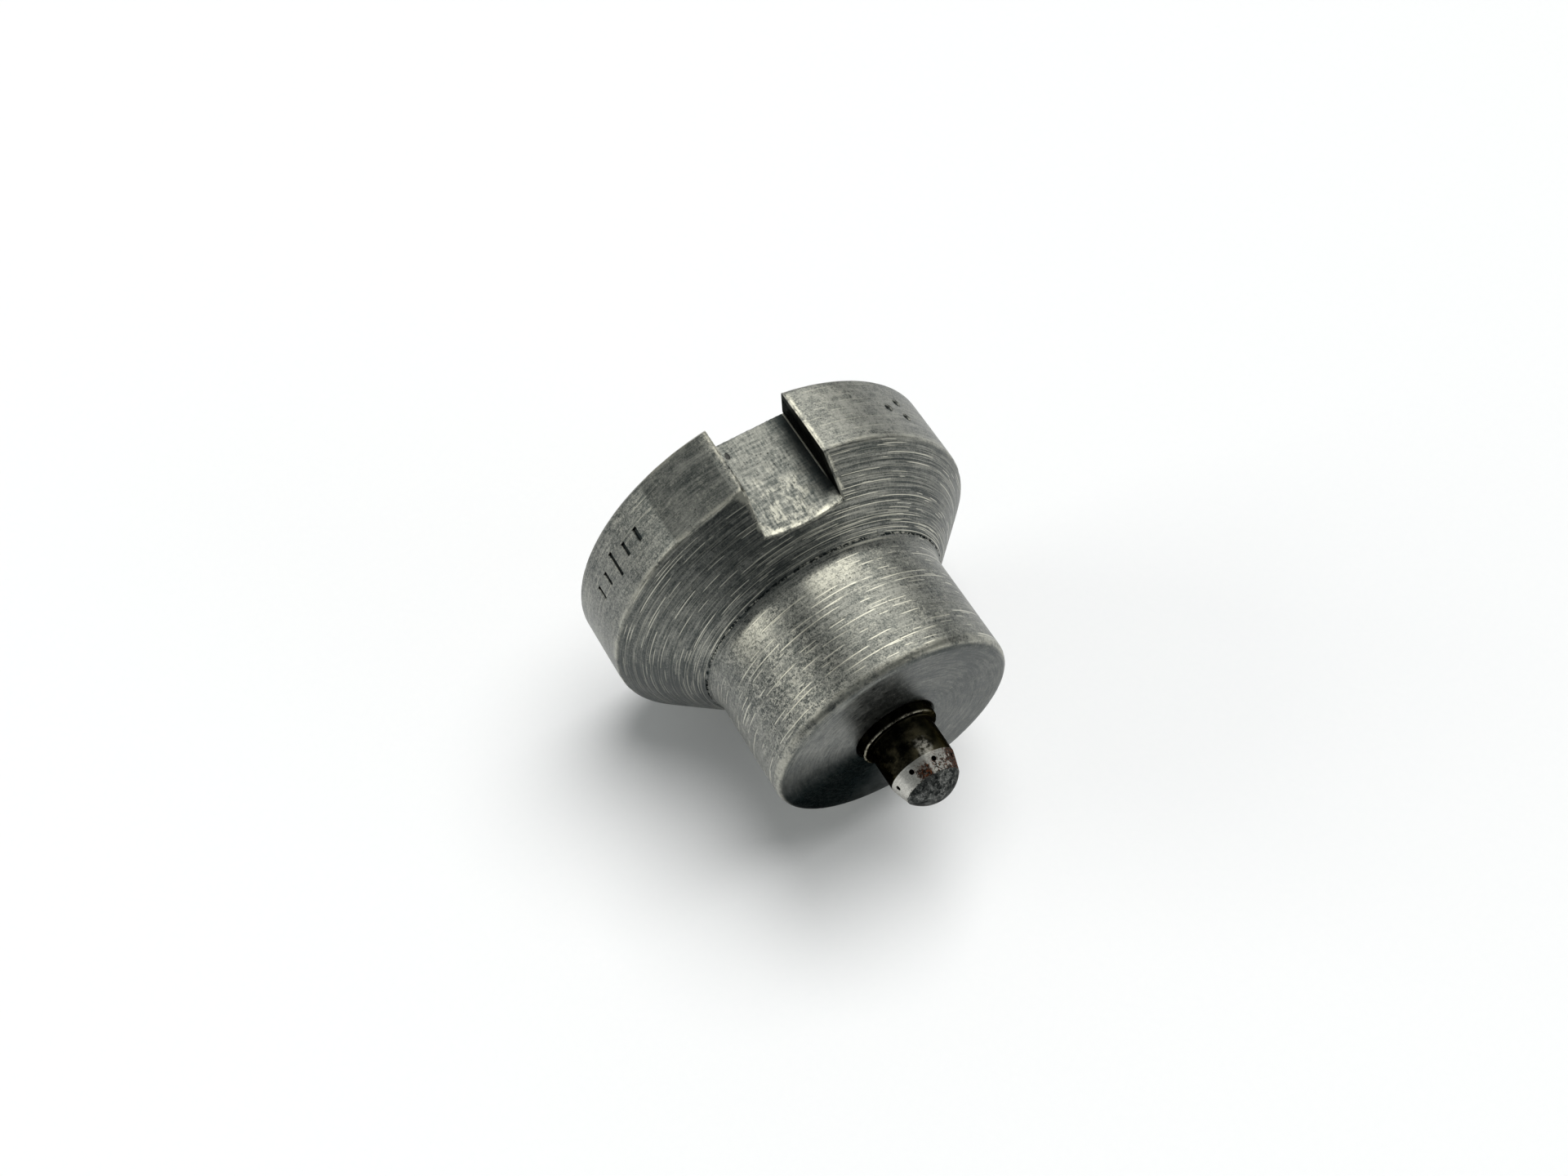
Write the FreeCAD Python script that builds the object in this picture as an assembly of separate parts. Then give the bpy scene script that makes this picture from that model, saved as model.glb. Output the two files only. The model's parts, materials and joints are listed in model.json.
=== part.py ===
import FreeCAD, Part
import math
import os

# A multi-hole fuel oil nozzle with a needle valve, millimetres.
# The nozzle's axis is Y. The rear face is the plane y = 0, the spray leaves towards -Y, and the key slot is
# on top, at +Z. "Depth" is the distance from the rear face towards the spray tip. "Angle" turns about the
# axis, from the key slot at +Z towards +X, in degrees.

# Body, outside
COLLAR_R = 14.0
COLLAR_LENGTH = 5.6
REAR_CHAMFER = 0.3
NECK_DEPTH = 10.1
NECK_R = 9.4
SHANK_R = 9.0
BODY_LENGTH = 19.5
END_ROUNDING = 0.7
SLOT_WIDTH = 5.8
SLOT_FLOOR_R = 11.17
FLAT_ANGLE = 335.0
FLAT_HALF_ANGLE = 10.0

# Plain marks stamped in the collar: a graduation of ticks, the middle one longer, and three dots
MARK_DEPTH = 0.15
TICK_WIDTH = 0.24
TICK_LENGTH = 1.1
LONG_TICK_LENGTH = 2.0
TICKS = 5
TICK_PITCH = 6.0
MIDDLE_TICK_ANGLE = 304.0
DOT_BALL_R = 0.4
DOT_PLACES = ((43, 0.0), (49, 0.7), (49, -0.7))

# Body, inside
END_WALL = 2.2
MOUTH_CHAMFER = 0.15
STACK_BORE_R = 6.7
STACK_R = 6.6
NOSE_FIT = 0.08
THREAD_PITCH = 1.0
THREAD_MAJOR_R = 8.5
THREAD_START = 0.5
THREAD_TURNS = 4
THREAD_DEPTH = 0.54
THREAD_FIT = 0.02
THREAD_CHAMFER = 0.35
RUNOUT_LENGTH = 0.6

# Spray tip
NOSE_R = 2.85
NOSE_PROUD = 0.67
BARREL_R = 2.41
BAND_START = 22.99
BAND_END = 24.33
BAND_END_R = 2.0
DOME_R = 2.48
NOSE_CHAMFER = 0.12
TIP_BORE_R = 1.3
SAC_R = 0.55
SAC_DEPTH = 22.3
SAC_STRAIGHT = 0.6
SPRAY_HOLES = 8
SPRAY_HOLE_R = 0.175
SPRAY_HALF_ANGLE = 72.0
FIRST_SPRAY_ANGLE = 13.0

# Lengths of the pieces clamped inside the body, from the end wall backwards
GASKET_THICK = 0.4
FLANGE_THICK = 1.8
GUIDE_LENGTH = 4.6
PLATE_THICK = 0.8
CAGE_LENGTH = 5.8
CAGE_SEAL_THICK = 0.3
PLUG_RECESS = 0.3

# Needle valve
NEEDLE_R = 1.5
STEM_R = 0.9
FRONT_STEM_R = 1.0
NEEDLE_LIFT = 0.35
STOP_GAP = 0.02
SEAT_GAP = 0.02
GUIDE_FIT = 0.02
SEAT_HALF_ANGLE = 30.0
NEEDLE_POINT_R = 0.4
STEM_CHAMFER = 0.15
GALLERY_R = 2.6
GALLERY_DEPTH = 1.1

# Needle spring
SPRING_BORE_R = 2.6
SPRING_MEAN_R = 2.05
SPRING_WIRE_R = 0.3
SPRING_TURNS = 4.6
SHIM_THICK = 0.2
CAGE_END_WALL = 0.9
VENT_R = 0.35
SEAT_FLANGE = 0.6
SEAT_HUB_R = 1.5
SEAT_CAP = 0.35
SPRING_FIT = 0.08

# Fuel passages and dowels
PASSAGE_R = 0.5
PASSAGE_CIRCLE_R = 4.3
PASSAGE_ANGLES = (60.0, 180.0, 300.0)
DOWEL_R = 0.5
DOWEL_CIRCLE_R = 5.4
DOWEL_ANGLES = (0.0, 120.0)
ORIENTATION_PIN_R = 0.6
ORIENTATION_CIRCLE_R = 4.9
ORIENTATION_ANGLE = 240.0
PIN_FIT = 0.02

# Inlet: plug, check valve, strainer and rear face
CHAMBER_R = 3.3
CHAMBER_LENGTH = 1.7
PLUG_WEB = 0.4
INLET_R = 2.9
SPANNER_HOLES = 4
SPANNER_HOLE_R = 0.7
SPANNER_CIRCLE_R = 5.5
SPANNER_DEPTH = 1.6
CHECK_PORT_R = 1.1
CHECK_SEAT_THICK = 0.58
CHECK_LIP = 0.1
CHECK_DISC_THICK = 0.4
CHECK_GAP = 0.01
SEAT_FIT = 0.02
STRAINER_THICK = 0.7
STRAINER_HOLE_R = 0.2
STRAINER_HOLE_PITCH = 0.68
STRAINER_RIM = 0.5
CLIP_WIRE = 0.26
CLIP_GAP = 1.4
CLIP_SETBACK = 0.22
SEAL_RING_R = 9.75
SEAL_SECTION_R = 0.5
LEAK_OFF_R = 0.4
LEAK_OFF_REAR_R = 11.8
LEAK_OFF_INNER_R = 8.4

# Depths worked out from the lengths above
SHOULDER_DEPTH = BODY_LENGTH - END_WALL
FLANGE_FRONT = SHOULDER_DEPTH - GASKET_THICK
FLANGE_REAR = FLANGE_FRONT - FLANGE_THICK
GUIDE_REAR = FLANGE_REAR - GUIDE_LENGTH
PLATE_REAR = GUIDE_REAR - PLATE_THICK
CAGE_REAR = PLATE_REAR - CAGE_LENGTH
PLUG_FRONT = CAGE_REAR - CAGE_SEAL_THICK
CHAMBER_REAR = PLUG_FRONT - CHAMBER_LENGTH
WEB_REAR = CHAMBER_REAR - PLUG_WEB
THREAD_END = THREAD_START + THREAD_TURNS * THREAD_PITCH
SEAT_FLANGE_FRONT = PLATE_REAR - 0.2
SPRING_CHAMBER_END = CAGE_REAR + CAGE_END_WALL
CHECK_DISC_REAR = CHAMBER_REAR + SEAT_FIT + CHECK_SEAT_THICK + CHECK_LIP + CHECK_GAP
CLIP_DEPTH = PLUG_RECESS + CLIP_SETBACK


def at(depth, radius=0.0, angle=0.0):
    turn = math.radians(angle)
    return FreeCAD.Vector(radius * math.sin(turn), -depth, radius * math.cos(turn))


def turned(outline):
    """A solid of revolution about the nozzle's axis. The outline is (depth, radius) corners in order, and a
    corner given as (depth, radius, arc depth, arc radius) is reached by an arc through that second point."""
    edges = []
    last = outline[-1]
    for corner in outline:
        start, end = (FreeCAD.Vector(p[1], -p[0], 0.0) for p in (last, corner))
        if len(corner) == 4:
            middle = FreeCAD.Vector(corner[3], -corner[2], 0.0)
            edges.append(Part.Arc(start, middle, end).toShape())
        else:
            edges.append(Part.LineSegment(start, end).toShape())
        last = corner
    face = Part.Face(Part.Wire(edges))
    return face.revolve(FreeCAD.Vector(0, 0, 0), FreeCAD.Vector(0, 1, 0), 360)


def rod(radius, start, end, circle_r=0.0, angle=0.0):
    return Part.makeCylinder(radius, end - start, at(start, circle_r, angle), FreeCAD.Vector(0, -1, 0))


def ring(inner_r, outer_r, start, end):
    return turned([(start, inner_r), (end, inner_r), (end, outer_r), (start, outer_r)])


def turn_about_axis(shape, angle):
    shape.rotate(FreeCAD.Vector(0, 0, 0), FreeCAD.Vector(0, 1, 0), angle)
    return shape


def coil(mean_r, wire_r, start, end, turns):
    """A compression spring on the axis, with both ends ground flat."""
    length = end - start
    pitch = length / turns
    helix = Part.makeHelix(pitch, length, mean_r)
    circle = Part.Circle(FreeCAD.Vector(mean_r, 0, 0), FreeCAD.Vector(0, 1, 0), wire_r)
    wire = Part.Wire(circle.toShape())
    spring = Part.Wire(helix).makePipeShell([wire], True, True)
    spring.rotate(FreeCAD.Vector(0, 0, 0), FreeCAD.Vector(1, 0, 0), 90)
    spring.translate(at(start))
    return spring.common(rod(mean_r + 2 * wire_r, start, end))


def thread_outline(radius_out, radius_in, turns):
    """Corners of a row of 60 degree thread ridges, the flats at radius_out first."""
    corners = []
    for turn in range(turns):
        start = THREAD_START + turn * THREAD_PITCH
        corners.append((start, radius_out))
        corners.append((start + 0.25 * THREAD_PITCH, radius_out))
        corners.append((start + 0.5625 * THREAD_PITCH, radius_in))
        corners.append((start + 0.6875 * THREAD_PITCH, radius_in))
    corners.append((THREAD_START + turns * THREAD_PITCH, radius_out))
    return corners


def body_outside():
    """The collar, the cone, a hollow fillet from the cone's end into the shank, and the rounded end."""
    rounding_mid = END_ROUNDING * (1 - math.cos(math.radians(45)))
    slope = math.atan((COLLAR_R - NECK_R) / (NECK_DEPTH - COLLAR_LENGTH))
    reach = (NECK_R - SHANK_R) / math.sin(slope)
    fillet_r = reach / math.tan(slope / 2)
    fillet_end = NECK_DEPTH + reach * math.cos(slope) + reach
    return turned([
        (0.0, 0.0),
        (0.0, COLLAR_R - REAR_CHAMFER),
        (REAR_CHAMFER, COLLAR_R),
        (COLLAR_LENGTH, COLLAR_R),
        (NECK_DEPTH, NECK_R),
        (fillet_end, SHANK_R,
         fillet_end - fillet_r * math.sin(slope / 2), SHANK_R + fillet_r * (1 - math.cos(slope / 2))),
        (BODY_LENGTH - END_ROUNDING, SHANK_R),
        (BODY_LENGTH, SHANK_R - END_ROUNDING, BODY_LENGTH - rounding_mid, SHANK_R - rounding_mid),
        (BODY_LENGTH, 0.0),
    ])


def body_inside():
    bore_r = NOSE_R + NOSE_FIT
    thread_root_r = THREAD_MAJOR_R + THREAD_FIT
    outline = [(0.0, 0.0), (0.0, thread_root_r + THREAD_CHAMFER), (THREAD_CHAMFER, thread_root_r)]
    outline += thread_outline(thread_root_r, thread_root_r - THREAD_DEPTH - THREAD_FIT, THREAD_TURNS)
    outline += [
        (THREAD_END + RUNOUT_LENGTH, thread_root_r),
        (THREAD_END + RUNOUT_LENGTH, STACK_BORE_R),
        (SHOULDER_DEPTH, STACK_BORE_R),
        (SHOULDER_DEPTH, bore_r),
        (BODY_LENGTH - MOUTH_CHAMFER, bore_r),
        (BODY_LENGTH, bore_r + MOUTH_CHAMFER),
        (BODY_LENGTH, 0.0),
    ]
    return turned(outline)


def key_slot():
    length = NECK_DEPTH
    corner = FreeCAD.Vector(-SLOT_WIDTH / 2, -length, SLOT_FLOOR_R)
    return Part.makeBox(SLOT_WIDTH, length + 1, COLLAR_R, corner)


def collar_flat():
    height = COLLAR_R * math.cos(math.radians(FLAT_HALF_ANGLE))
    corner = FreeCAD.Vector(-COLLAR_R, -COLLAR_LENGTH - 1, height)
    return turn_about_axis(Part.makeBox(2 * COLLAR_R, COLLAR_LENGTH + 2, COLLAR_R, corner), FLAT_ANGLE)


def stamped_marks():
    middle = COLLAR_LENGTH / 2
    marks = []
    for i in range(TICKS):
        length = LONG_TICK_LENGTH if i == TICKS // 2 else TICK_LENGTH
        corner = FreeCAD.Vector(-TICK_WIDTH / 2, -middle - length / 2, COLLAR_R - MARK_DEPTH)
        tick = Part.makeBox(TICK_WIDTH, length, 1, corner)
        marks.append(turn_about_axis(tick, MIDDLE_TICK_ANGLE + (i - TICKS // 2) * TICK_PITCH))
    for angle, shift in DOT_PLACES:
        dot = Part.makeSphere(DOT_BALL_R, FreeCAD.Vector(0, -middle + shift, COLLAR_R + MARK_DEPTH))
        marks.append(turn_about_axis(dot, angle))
    return marks


def leak_off():
    """A slanted drilling that vents the spring chamber to the rear face, at the bottom."""
    start = at(0, LEAK_OFF_REAR_R, 180)
    end = at(THREAD_END + RUNOUT_LENGTH / 2, LEAK_OFF_INNER_R, 180)
    along = (end - start).normalize()
    return Part.makeCylinder(LEAK_OFF_R, (end - start).Length + 1, start - along, along)


def nozzle_body():
    body = body_outside().cut(body_inside())
    groove_half = SEAL_SECTION_R + 0.05
    cutters = [
        key_slot(),
        collar_flat(),
        leak_off(),
        ring(SEAL_RING_R - groove_half, SEAL_RING_R + groove_half, 0, 2 * SEAL_SECTION_R + 0.05),
        rod(ORIENTATION_PIN_R + PIN_FIT, SHOULDER_DEPTH - 1, SHOULDER_DEPTH + 1.1,
            ORIENTATION_CIRCLE_R, ORIENTATION_ANGLE),
    ]
    return body.cut(cutters + stamped_marks())


def face_seal():
    return Part.makeTorus(SEAL_RING_R, SEAL_SECTION_R, at(SEAL_SECTION_R + 0.03), FreeCAD.Vector(0, 1, 0))


def spray_hole(angle):
    """One spray hole, from the sac out through the ground band, square to the band."""
    band_depth = (BAND_START + BAND_END) / 2 - 0.2
    band_r = BARREL_R + (BAND_END_R - BARREL_R) * (band_depth - BAND_START) / (BAND_END - BAND_START)
    slope = 1 / math.tan(math.radians(SPRAY_HALF_ANGLE))
    axis_depth = band_depth - band_r * slope
    start = at(axis_depth + 0.3 * slope, 0.3, angle)
    end = at(axis_depth + (band_r + 0.5) * slope, band_r + 0.5, angle)
    return Part.makeCylinder(SPRAY_HOLE_R, (end - start).Length, start, end - start)


def spray_tip():
    dome_centre = BAND_END - math.sqrt(DOME_R ** 2 - BAND_END_R ** 2)
    half_way = 0.5 * (math.pi / 2 + math.asin((BAND_END - dome_centre) / DOME_R))
    nose_end = BODY_LENGTH + NOSE_PROUD
    seat_start = SAC_DEPTH - (TIP_BORE_R - SAC_R) / math.tan(math.radians(SEAT_HALF_ANGLE))
    sac_centre = SAC_DEPTH + SAC_STRAIGHT
    tip = turned([
        (FLANGE_REAR, TIP_BORE_R),
        (FLANGE_REAR, STACK_R),
        (FLANGE_FRONT, STACK_R),
        (FLANGE_FRONT, NOSE_R),
        (nose_end - NOSE_CHAMFER, NOSE_R),
        (nose_end, NOSE_R - NOSE_CHAMFER),
        (nose_end, BARREL_R),
        (BAND_START, BARREL_R),
        (BAND_END, BAND_END_R),
        (dome_centre + DOME_R, 0.0,
         dome_centre + DOME_R * math.sin(half_way), DOME_R * math.cos(half_way)),
        (sac_centre + SAC_R, 0.0),
        (sac_centre, SAC_R, sac_centre + SAC_R * math.sin(math.pi / 4), SAC_R * math.cos(math.pi / 4)),
        (SAC_DEPTH, SAC_R),
        (seat_start, TIP_BORE_R),
    ])
    holes = [spray_hole(FIRST_SPRAY_ANGLE + i * 360 / SPRAY_HOLES) for i in range(SPRAY_HOLES)]
    for angle in DOWEL_ANGLES:
        holes.append(rod(DOWEL_R + PIN_FIT, FLANGE_REAR - 1, FLANGE_REAR + 1.1, DOWEL_CIRCLE_R, angle))
    holes.append(rod(ORIENTATION_PIN_R + PIN_FIT, FLANGE_REAR + 0.4, FLANGE_FRONT + 1,
                     ORIENTATION_CIRCLE_R, ORIENTATION_ANGLE))
    return tip.cut(holes)


def tip_gasket():
    gasket = ring(NOSE_R + 0.45, STACK_R - 0.05, FLANGE_FRONT, SHOULDER_DEPTH)
    return gasket.cut(rod(ORIENTATION_PIN_R + 0.1, FLANGE_FRONT - 1, SHOULDER_DEPTH + 1,
                          ORIENTATION_CIRCLE_R, ORIENTATION_ANGLE))


def orientation_pin():
    start, end = FLANGE_REAR + 0.5, SHOULDER_DEPTH + 1
    return rod(ORIENTATION_PIN_R, start, end, ORIENTATION_CIRCLE_R, ORIENTATION_ANGLE)


def passages(start, end):
    return [rod(PASSAGE_R, start - 1, end + 1, PASSAGE_CIRCLE_R, angle) for angle in PASSAGE_ANGLES]


def needle_guide():
    guide = ring(NEEDLE_R + GUIDE_FIT, STACK_R, GUIDE_REAR, FLANGE_REAR)
    cutters = passages(GUIDE_REAR, FLANGE_REAR)
    cutters.append(rod(GALLERY_R, FLANGE_REAR - GALLERY_DEPTH, FLANGE_REAR + 1))
    for angle in PASSAGE_ANGLES:
        corner = FreeCAD.Vector(-PASSAGE_R, -FLANGE_REAR - 1, GALLERY_R - 1)
        length = PASSAGE_CIRCLE_R - GALLERY_R + 1
        feed = Part.makeBox(2 * PASSAGE_R, GALLERY_DEPTH - 0.3 + 1, length, corner)
        cutters.append(turn_about_axis(feed, angle))
    for angle in DOWEL_ANGLES:
        cutters.append(rod(DOWEL_R + PIN_FIT, GUIDE_REAR - 1, GUIDE_REAR + 1.6, DOWEL_CIRCLE_R, angle))
        cutters.append(rod(DOWEL_R + PIN_FIT, FLANGE_REAR - 1.4, FLANGE_REAR + 1, DOWEL_CIRCLE_R, angle))
    return guide.cut(cutters)


def dowels(start, end):
    return Part.makeCompound([rod(DOWEL_R, start, end, DOWEL_CIRCLE_R, angle) for angle in DOWEL_ANGLES])


def guide_pins():
    return dowels(FLANGE_REAR - 1.3, FLANGE_REAR + 1.0)


def stack_pins():
    return dowels(PLATE_REAR - 1.0, GUIDE_REAR + 1.5)


def lift_stop_plate():
    plate = ring(STEM_R + 0.1, STACK_R, PLATE_REAR, GUIDE_REAR)
    cutters = passages(PLATE_REAR, GUIDE_REAR)
    for angle in DOWEL_ANGLES:
        cutters.append(rod(DOWEL_R + PIN_FIT, PLATE_REAR - 1, GUIDE_REAR + 1, DOWEL_CIRCLE_R, angle))
    return plate.cut(cutters)


def needle():
    slope = math.tan(math.radians(SEAT_HALF_ANGLE))
    gap_along = SEAT_GAP / math.sin(math.radians(SEAT_HALF_ANGLE))
    cone_start = SAC_DEPTH - (FRONT_STEM_R - SAC_R) / slope - gap_along
    point_depth = cone_start + (FRONT_STEM_R - NEEDLE_POINT_R) / slope
    shoulder = FLANGE_REAR - GALLERY_DEPTH + 0.3
    stop = GUIDE_REAR + NEEDLE_LIFT + STOP_GAP
    stem_end = PLATE_REAR - SEAT_FLANGE - 0.8
    return turned([
        (stem_end, 0.0),
        (stem_end, STEM_R - STEM_CHAMFER),
        (stem_end + STEM_CHAMFER, STEM_R),
        (stop, STEM_R),
        (stop, NEEDLE_R),
        (shoulder, NEEDLE_R),
        (shoulder + NEEDLE_R - FRONT_STEM_R, FRONT_STEM_R),
        (cone_start, FRONT_STEM_R),
        (point_depth, NEEDLE_POINT_R),
        (point_depth + NEEDLE_POINT_R * 0.6, 0.0),
    ])


def spring_seat():
    rear = SEAT_FLANGE_FRONT - SEAT_FLANGE
    bore_end = PLATE_REAR - SEAT_FLANGE - 0.82
    return turned([
        (bore_end - SEAT_CAP, 0.0),
        (bore_end - SEAT_CAP, SEAT_HUB_R - 0.2),
        (bore_end - SEAT_CAP + 0.2, SEAT_HUB_R),
        (rear, SEAT_HUB_R),
        (rear, SPRING_BORE_R - SPRING_FIT),
        (SEAT_FLANGE_FRONT, SPRING_BORE_R - SPRING_FIT),
        (SEAT_FLANGE_FRONT, STEM_R + PIN_FIT),
        (bore_end, STEM_R + PIN_FIT),
        (bore_end, 0.0),
    ])


def needle_spring():
    start = SPRING_CHAMBER_END + SHIM_THICK
    return coil(SPRING_MEAN_R, SPRING_WIRE_R, start, SEAT_FLANGE_FRONT - SEAT_FLANGE, SPRING_TURNS)


def opening_shim():
    return ring(0.8, SPRING_BORE_R - SPRING_FIT, SPRING_CHAMBER_END, SPRING_CHAMBER_END + SHIM_THICK)


def spring_cage():
    end_wall = rod(SPRING_BORE_R, CAGE_REAR, SPRING_CHAMBER_END)
    cage = ring(SPRING_BORE_R, STACK_R, CAGE_REAR, PLATE_REAR).fuse(end_wall)
    cutters = passages(CAGE_REAR, PLATE_REAR)
    for angle in DOWEL_ANGLES:
        cutters.append(rod(DOWEL_R + PIN_FIT, PLATE_REAR - 1.1, PLATE_REAR + 1, DOWEL_CIRCLE_R, angle))
    vent_start = at((CAGE_REAR + PLATE_REAR) / 2, SPRING_BORE_R - 1, ORIENTATION_ANGLE)
    vent_along = at(0, 1, ORIENTATION_ANGLE)
    cutters.append(Part.makeCylinder(VENT_R, STACK_R - SPRING_BORE_R + 2, vent_start, vent_along))
    return cage.cut(cutters).removeSplitter()


def cage_seal():
    return ring(5.0, STACK_R - 0.1, PLUG_FRONT, CAGE_REAR)


def retaining_plug():
    crest_r = THREAD_MAJOR_R - 0.06
    root_r = crest_r - THREAD_DEPTH - THREAD_FIT
    plug_turns = int(PLUG_FRONT - THREAD_START)
    thread = thread_outline(crest_r, root_r, plug_turns)
    plug = turned(
        [(PLUG_RECESS, INLET_R + 0.2), (PLUG_RECESS, crest_r - 0.2)]
        + thread
        + [
            (PLUG_FRONT - 0.05, crest_r),
            (PLUG_FRONT, crest_r - 0.4),
            (PLUG_FRONT, CHAMBER_R),
            (CHAMBER_REAR, CHAMBER_R),
            (CHAMBER_REAR, CHECK_PORT_R + 0.9),
            (WEB_REAR, CHECK_PORT_R + 0.9),
            (WEB_REAR, INLET_R),
            (PLUG_RECESS + 0.2, INLET_R),
        ]
    )
    cutters = [ring(INLET_R - 0.1, INLET_R + 0.2, CLIP_DEPTH - 0.02, CLIP_DEPTH + CLIP_WIRE + 0.02)]
    hole_end = PLUG_RECESS + SPANNER_DEPTH
    for i in range(SPANNER_HOLES):
        angle = (i + 0.5) * 360 / SPANNER_HOLES
        cutters.append(rod(SPANNER_HOLE_R, PLUG_RECESS - 1, hole_end, SPANNER_CIRCLE_R, angle))
    return plug.cut(cutters)


def check_seat():
    rear = CHAMBER_REAR + SEAT_FIT
    front = rear + CHECK_SEAT_THICK
    return turned([
        (rear, CHECK_PORT_R),
        (rear, CHAMBER_R - 0.03),
        (front, CHAMBER_R - 0.03),
        (front, CHECK_PORT_R + 0.5),
        (front + CHECK_LIP, CHECK_PORT_R + 0.35),
        (front + CHECK_LIP, CHECK_PORT_R),
    ])


def check_disc():
    front = CHECK_DISC_REAR + CHECK_DISC_THICK
    disc = rod(CHAMBER_R - 0.08, CHECK_DISC_REAR, front)
    scallops = [rod(0.9, CHECK_DISC_REAR - 1, front + 1, CHAMBER_R, angle) for angle in PASSAGE_ANGLES]
    return disc.cut(scallops)


def check_spring():
    return coil(1.6, 0.1, CHECK_DISC_REAR + CHECK_DISC_THICK, CAGE_REAR, 2.6)


def inlet_strainer():
    """A disc drilled with round holes in a triangular pattern."""
    front = WEB_REAR - SEAT_FIT
    rear = front - STRAINER_THICK
    holes = []
    for row in range(-3, 4):
        for column in range(-3, 4):
            x = STRAINER_HOLE_PITCH * (column + 0.5 * row)
            z = STRAINER_HOLE_PITCH * math.sqrt(0.75) * row
            radius, angle = math.hypot(x, z), math.degrees(math.atan2(x, z))
            if radius < INLET_R - STRAINER_RIM:
                holes.append(rod(STRAINER_HOLE_R, rear - 1, front + 1, radius, angle))
    return rod(INLET_R - 0.05, rear, front).cut(holes)


def strainer_clip():
    clip = ring(INLET_R - 0.4, INLET_R + 0.15, CLIP_DEPTH, CLIP_DEPTH + CLIP_WIRE)
    corner = FreeCAD.Vector(-CLIP_GAP / 2, -CLIP_DEPTH - 1, 0)
    return clip.cut(Part.makeBox(CLIP_GAP, 2, INLET_R + 1, corner))


def main():
    os.makedirs("parts", exist_ok=True)
    pieces = [
        nozzle_body,
        spray_tip,
        tip_gasket,
        orientation_pin,
        needle_guide,
        guide_pins,
        needle,
        lift_stop_plate,
        stack_pins,
        spring_seat,
        needle_spring,
        opening_shim,
        spring_cage,
        cage_seal,
        check_seat,
        check_disc,
        check_spring,
        retaining_plug,
        inlet_strainer,
        strainer_clip,
        face_seal,
    ]
    for piece in pieces:
        shape = piece()
        shape.exportStep(f"parts/{piece.__name__}.step")
        print(piece.__name__, len(shape.Solids), "solid(s)", shape.isValid(), round(shape.Volume, 3))


main()
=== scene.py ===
import json
import math
import random

import bmesh
import bpy
from mathutils import Matrix, Vector, noise

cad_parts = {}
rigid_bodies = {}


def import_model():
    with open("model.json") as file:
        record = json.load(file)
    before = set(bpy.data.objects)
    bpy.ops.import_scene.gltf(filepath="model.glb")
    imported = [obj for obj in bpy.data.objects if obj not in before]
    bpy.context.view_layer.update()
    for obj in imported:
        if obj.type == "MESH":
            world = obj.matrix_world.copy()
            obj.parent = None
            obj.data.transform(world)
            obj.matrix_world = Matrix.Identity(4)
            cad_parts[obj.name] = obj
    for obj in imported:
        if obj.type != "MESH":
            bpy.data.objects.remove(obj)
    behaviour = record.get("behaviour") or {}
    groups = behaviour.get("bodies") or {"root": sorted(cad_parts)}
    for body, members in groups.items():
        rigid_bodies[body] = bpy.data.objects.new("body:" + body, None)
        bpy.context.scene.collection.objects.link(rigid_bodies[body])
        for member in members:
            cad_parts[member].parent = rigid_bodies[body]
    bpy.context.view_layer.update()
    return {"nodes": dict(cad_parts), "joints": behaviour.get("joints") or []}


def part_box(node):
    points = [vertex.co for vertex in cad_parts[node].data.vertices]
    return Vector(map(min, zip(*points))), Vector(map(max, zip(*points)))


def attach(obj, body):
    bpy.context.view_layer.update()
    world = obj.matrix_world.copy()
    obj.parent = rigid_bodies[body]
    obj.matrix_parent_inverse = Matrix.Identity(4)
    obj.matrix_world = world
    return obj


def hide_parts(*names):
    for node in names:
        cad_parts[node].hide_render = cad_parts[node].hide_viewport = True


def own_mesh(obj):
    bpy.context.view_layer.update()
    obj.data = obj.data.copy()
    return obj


# A multi-hole fuel oil nozzle in a plain studio. Metres; the nozzle's axis is Y, the rear face is the plane
# y = 0, the spray leaves towards -Y and the key slot is at +Z. "Depth" is the distance from the rear face
# towards the spray tip, and "angle" turns about the axis from +Z towards +X, in degrees.

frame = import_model()

MM = 0.001
BODY_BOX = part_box("nozzle_body")
TIP_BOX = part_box("spray_tip")

# Body
COLLAR_R = BODY_BOX[1].x
BODY_LENGTH = -BODY_BOX[0].y
COLLAR_LENGTH = 5.6 * MM
REAR_CHAMFER = 0.3 * MM
NECK_DEPTH = 10.1 * MM
NECK_R = 9.4 * MM
SHANK_R = 9.0 * MM
END_ROUNDING = 0.7 * MM
SLOT_HALF = 2.9 * MM
SLOT_FLOOR_R = 11.17 * MM
FLAT_ANGLE = 335.0
FLAT_HALF_ANGLE = 10.0
CONE_SLOPE = (COLLAR_R - NECK_R) / (NECK_DEPTH - COLLAR_LENGTH)

# Plain stamped marks
MARK_DEPTH = 0.15 * MM
TICK_WIDTH = 0.24 * MM
TICK_LENGTH = 1.1 * MM
LONG_TICK_LENGTH = 2.0 * MM
TICKS = 5
TICK_PITCH = 6.0
MIDDLE_TICK_ANGLE = 304.0
DOT_BALL_R = 0.4 * MM
DOT_PLACES = ((43, 0.0), (49, 0.7 * MM), (49, -0.7 * MM))

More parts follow.
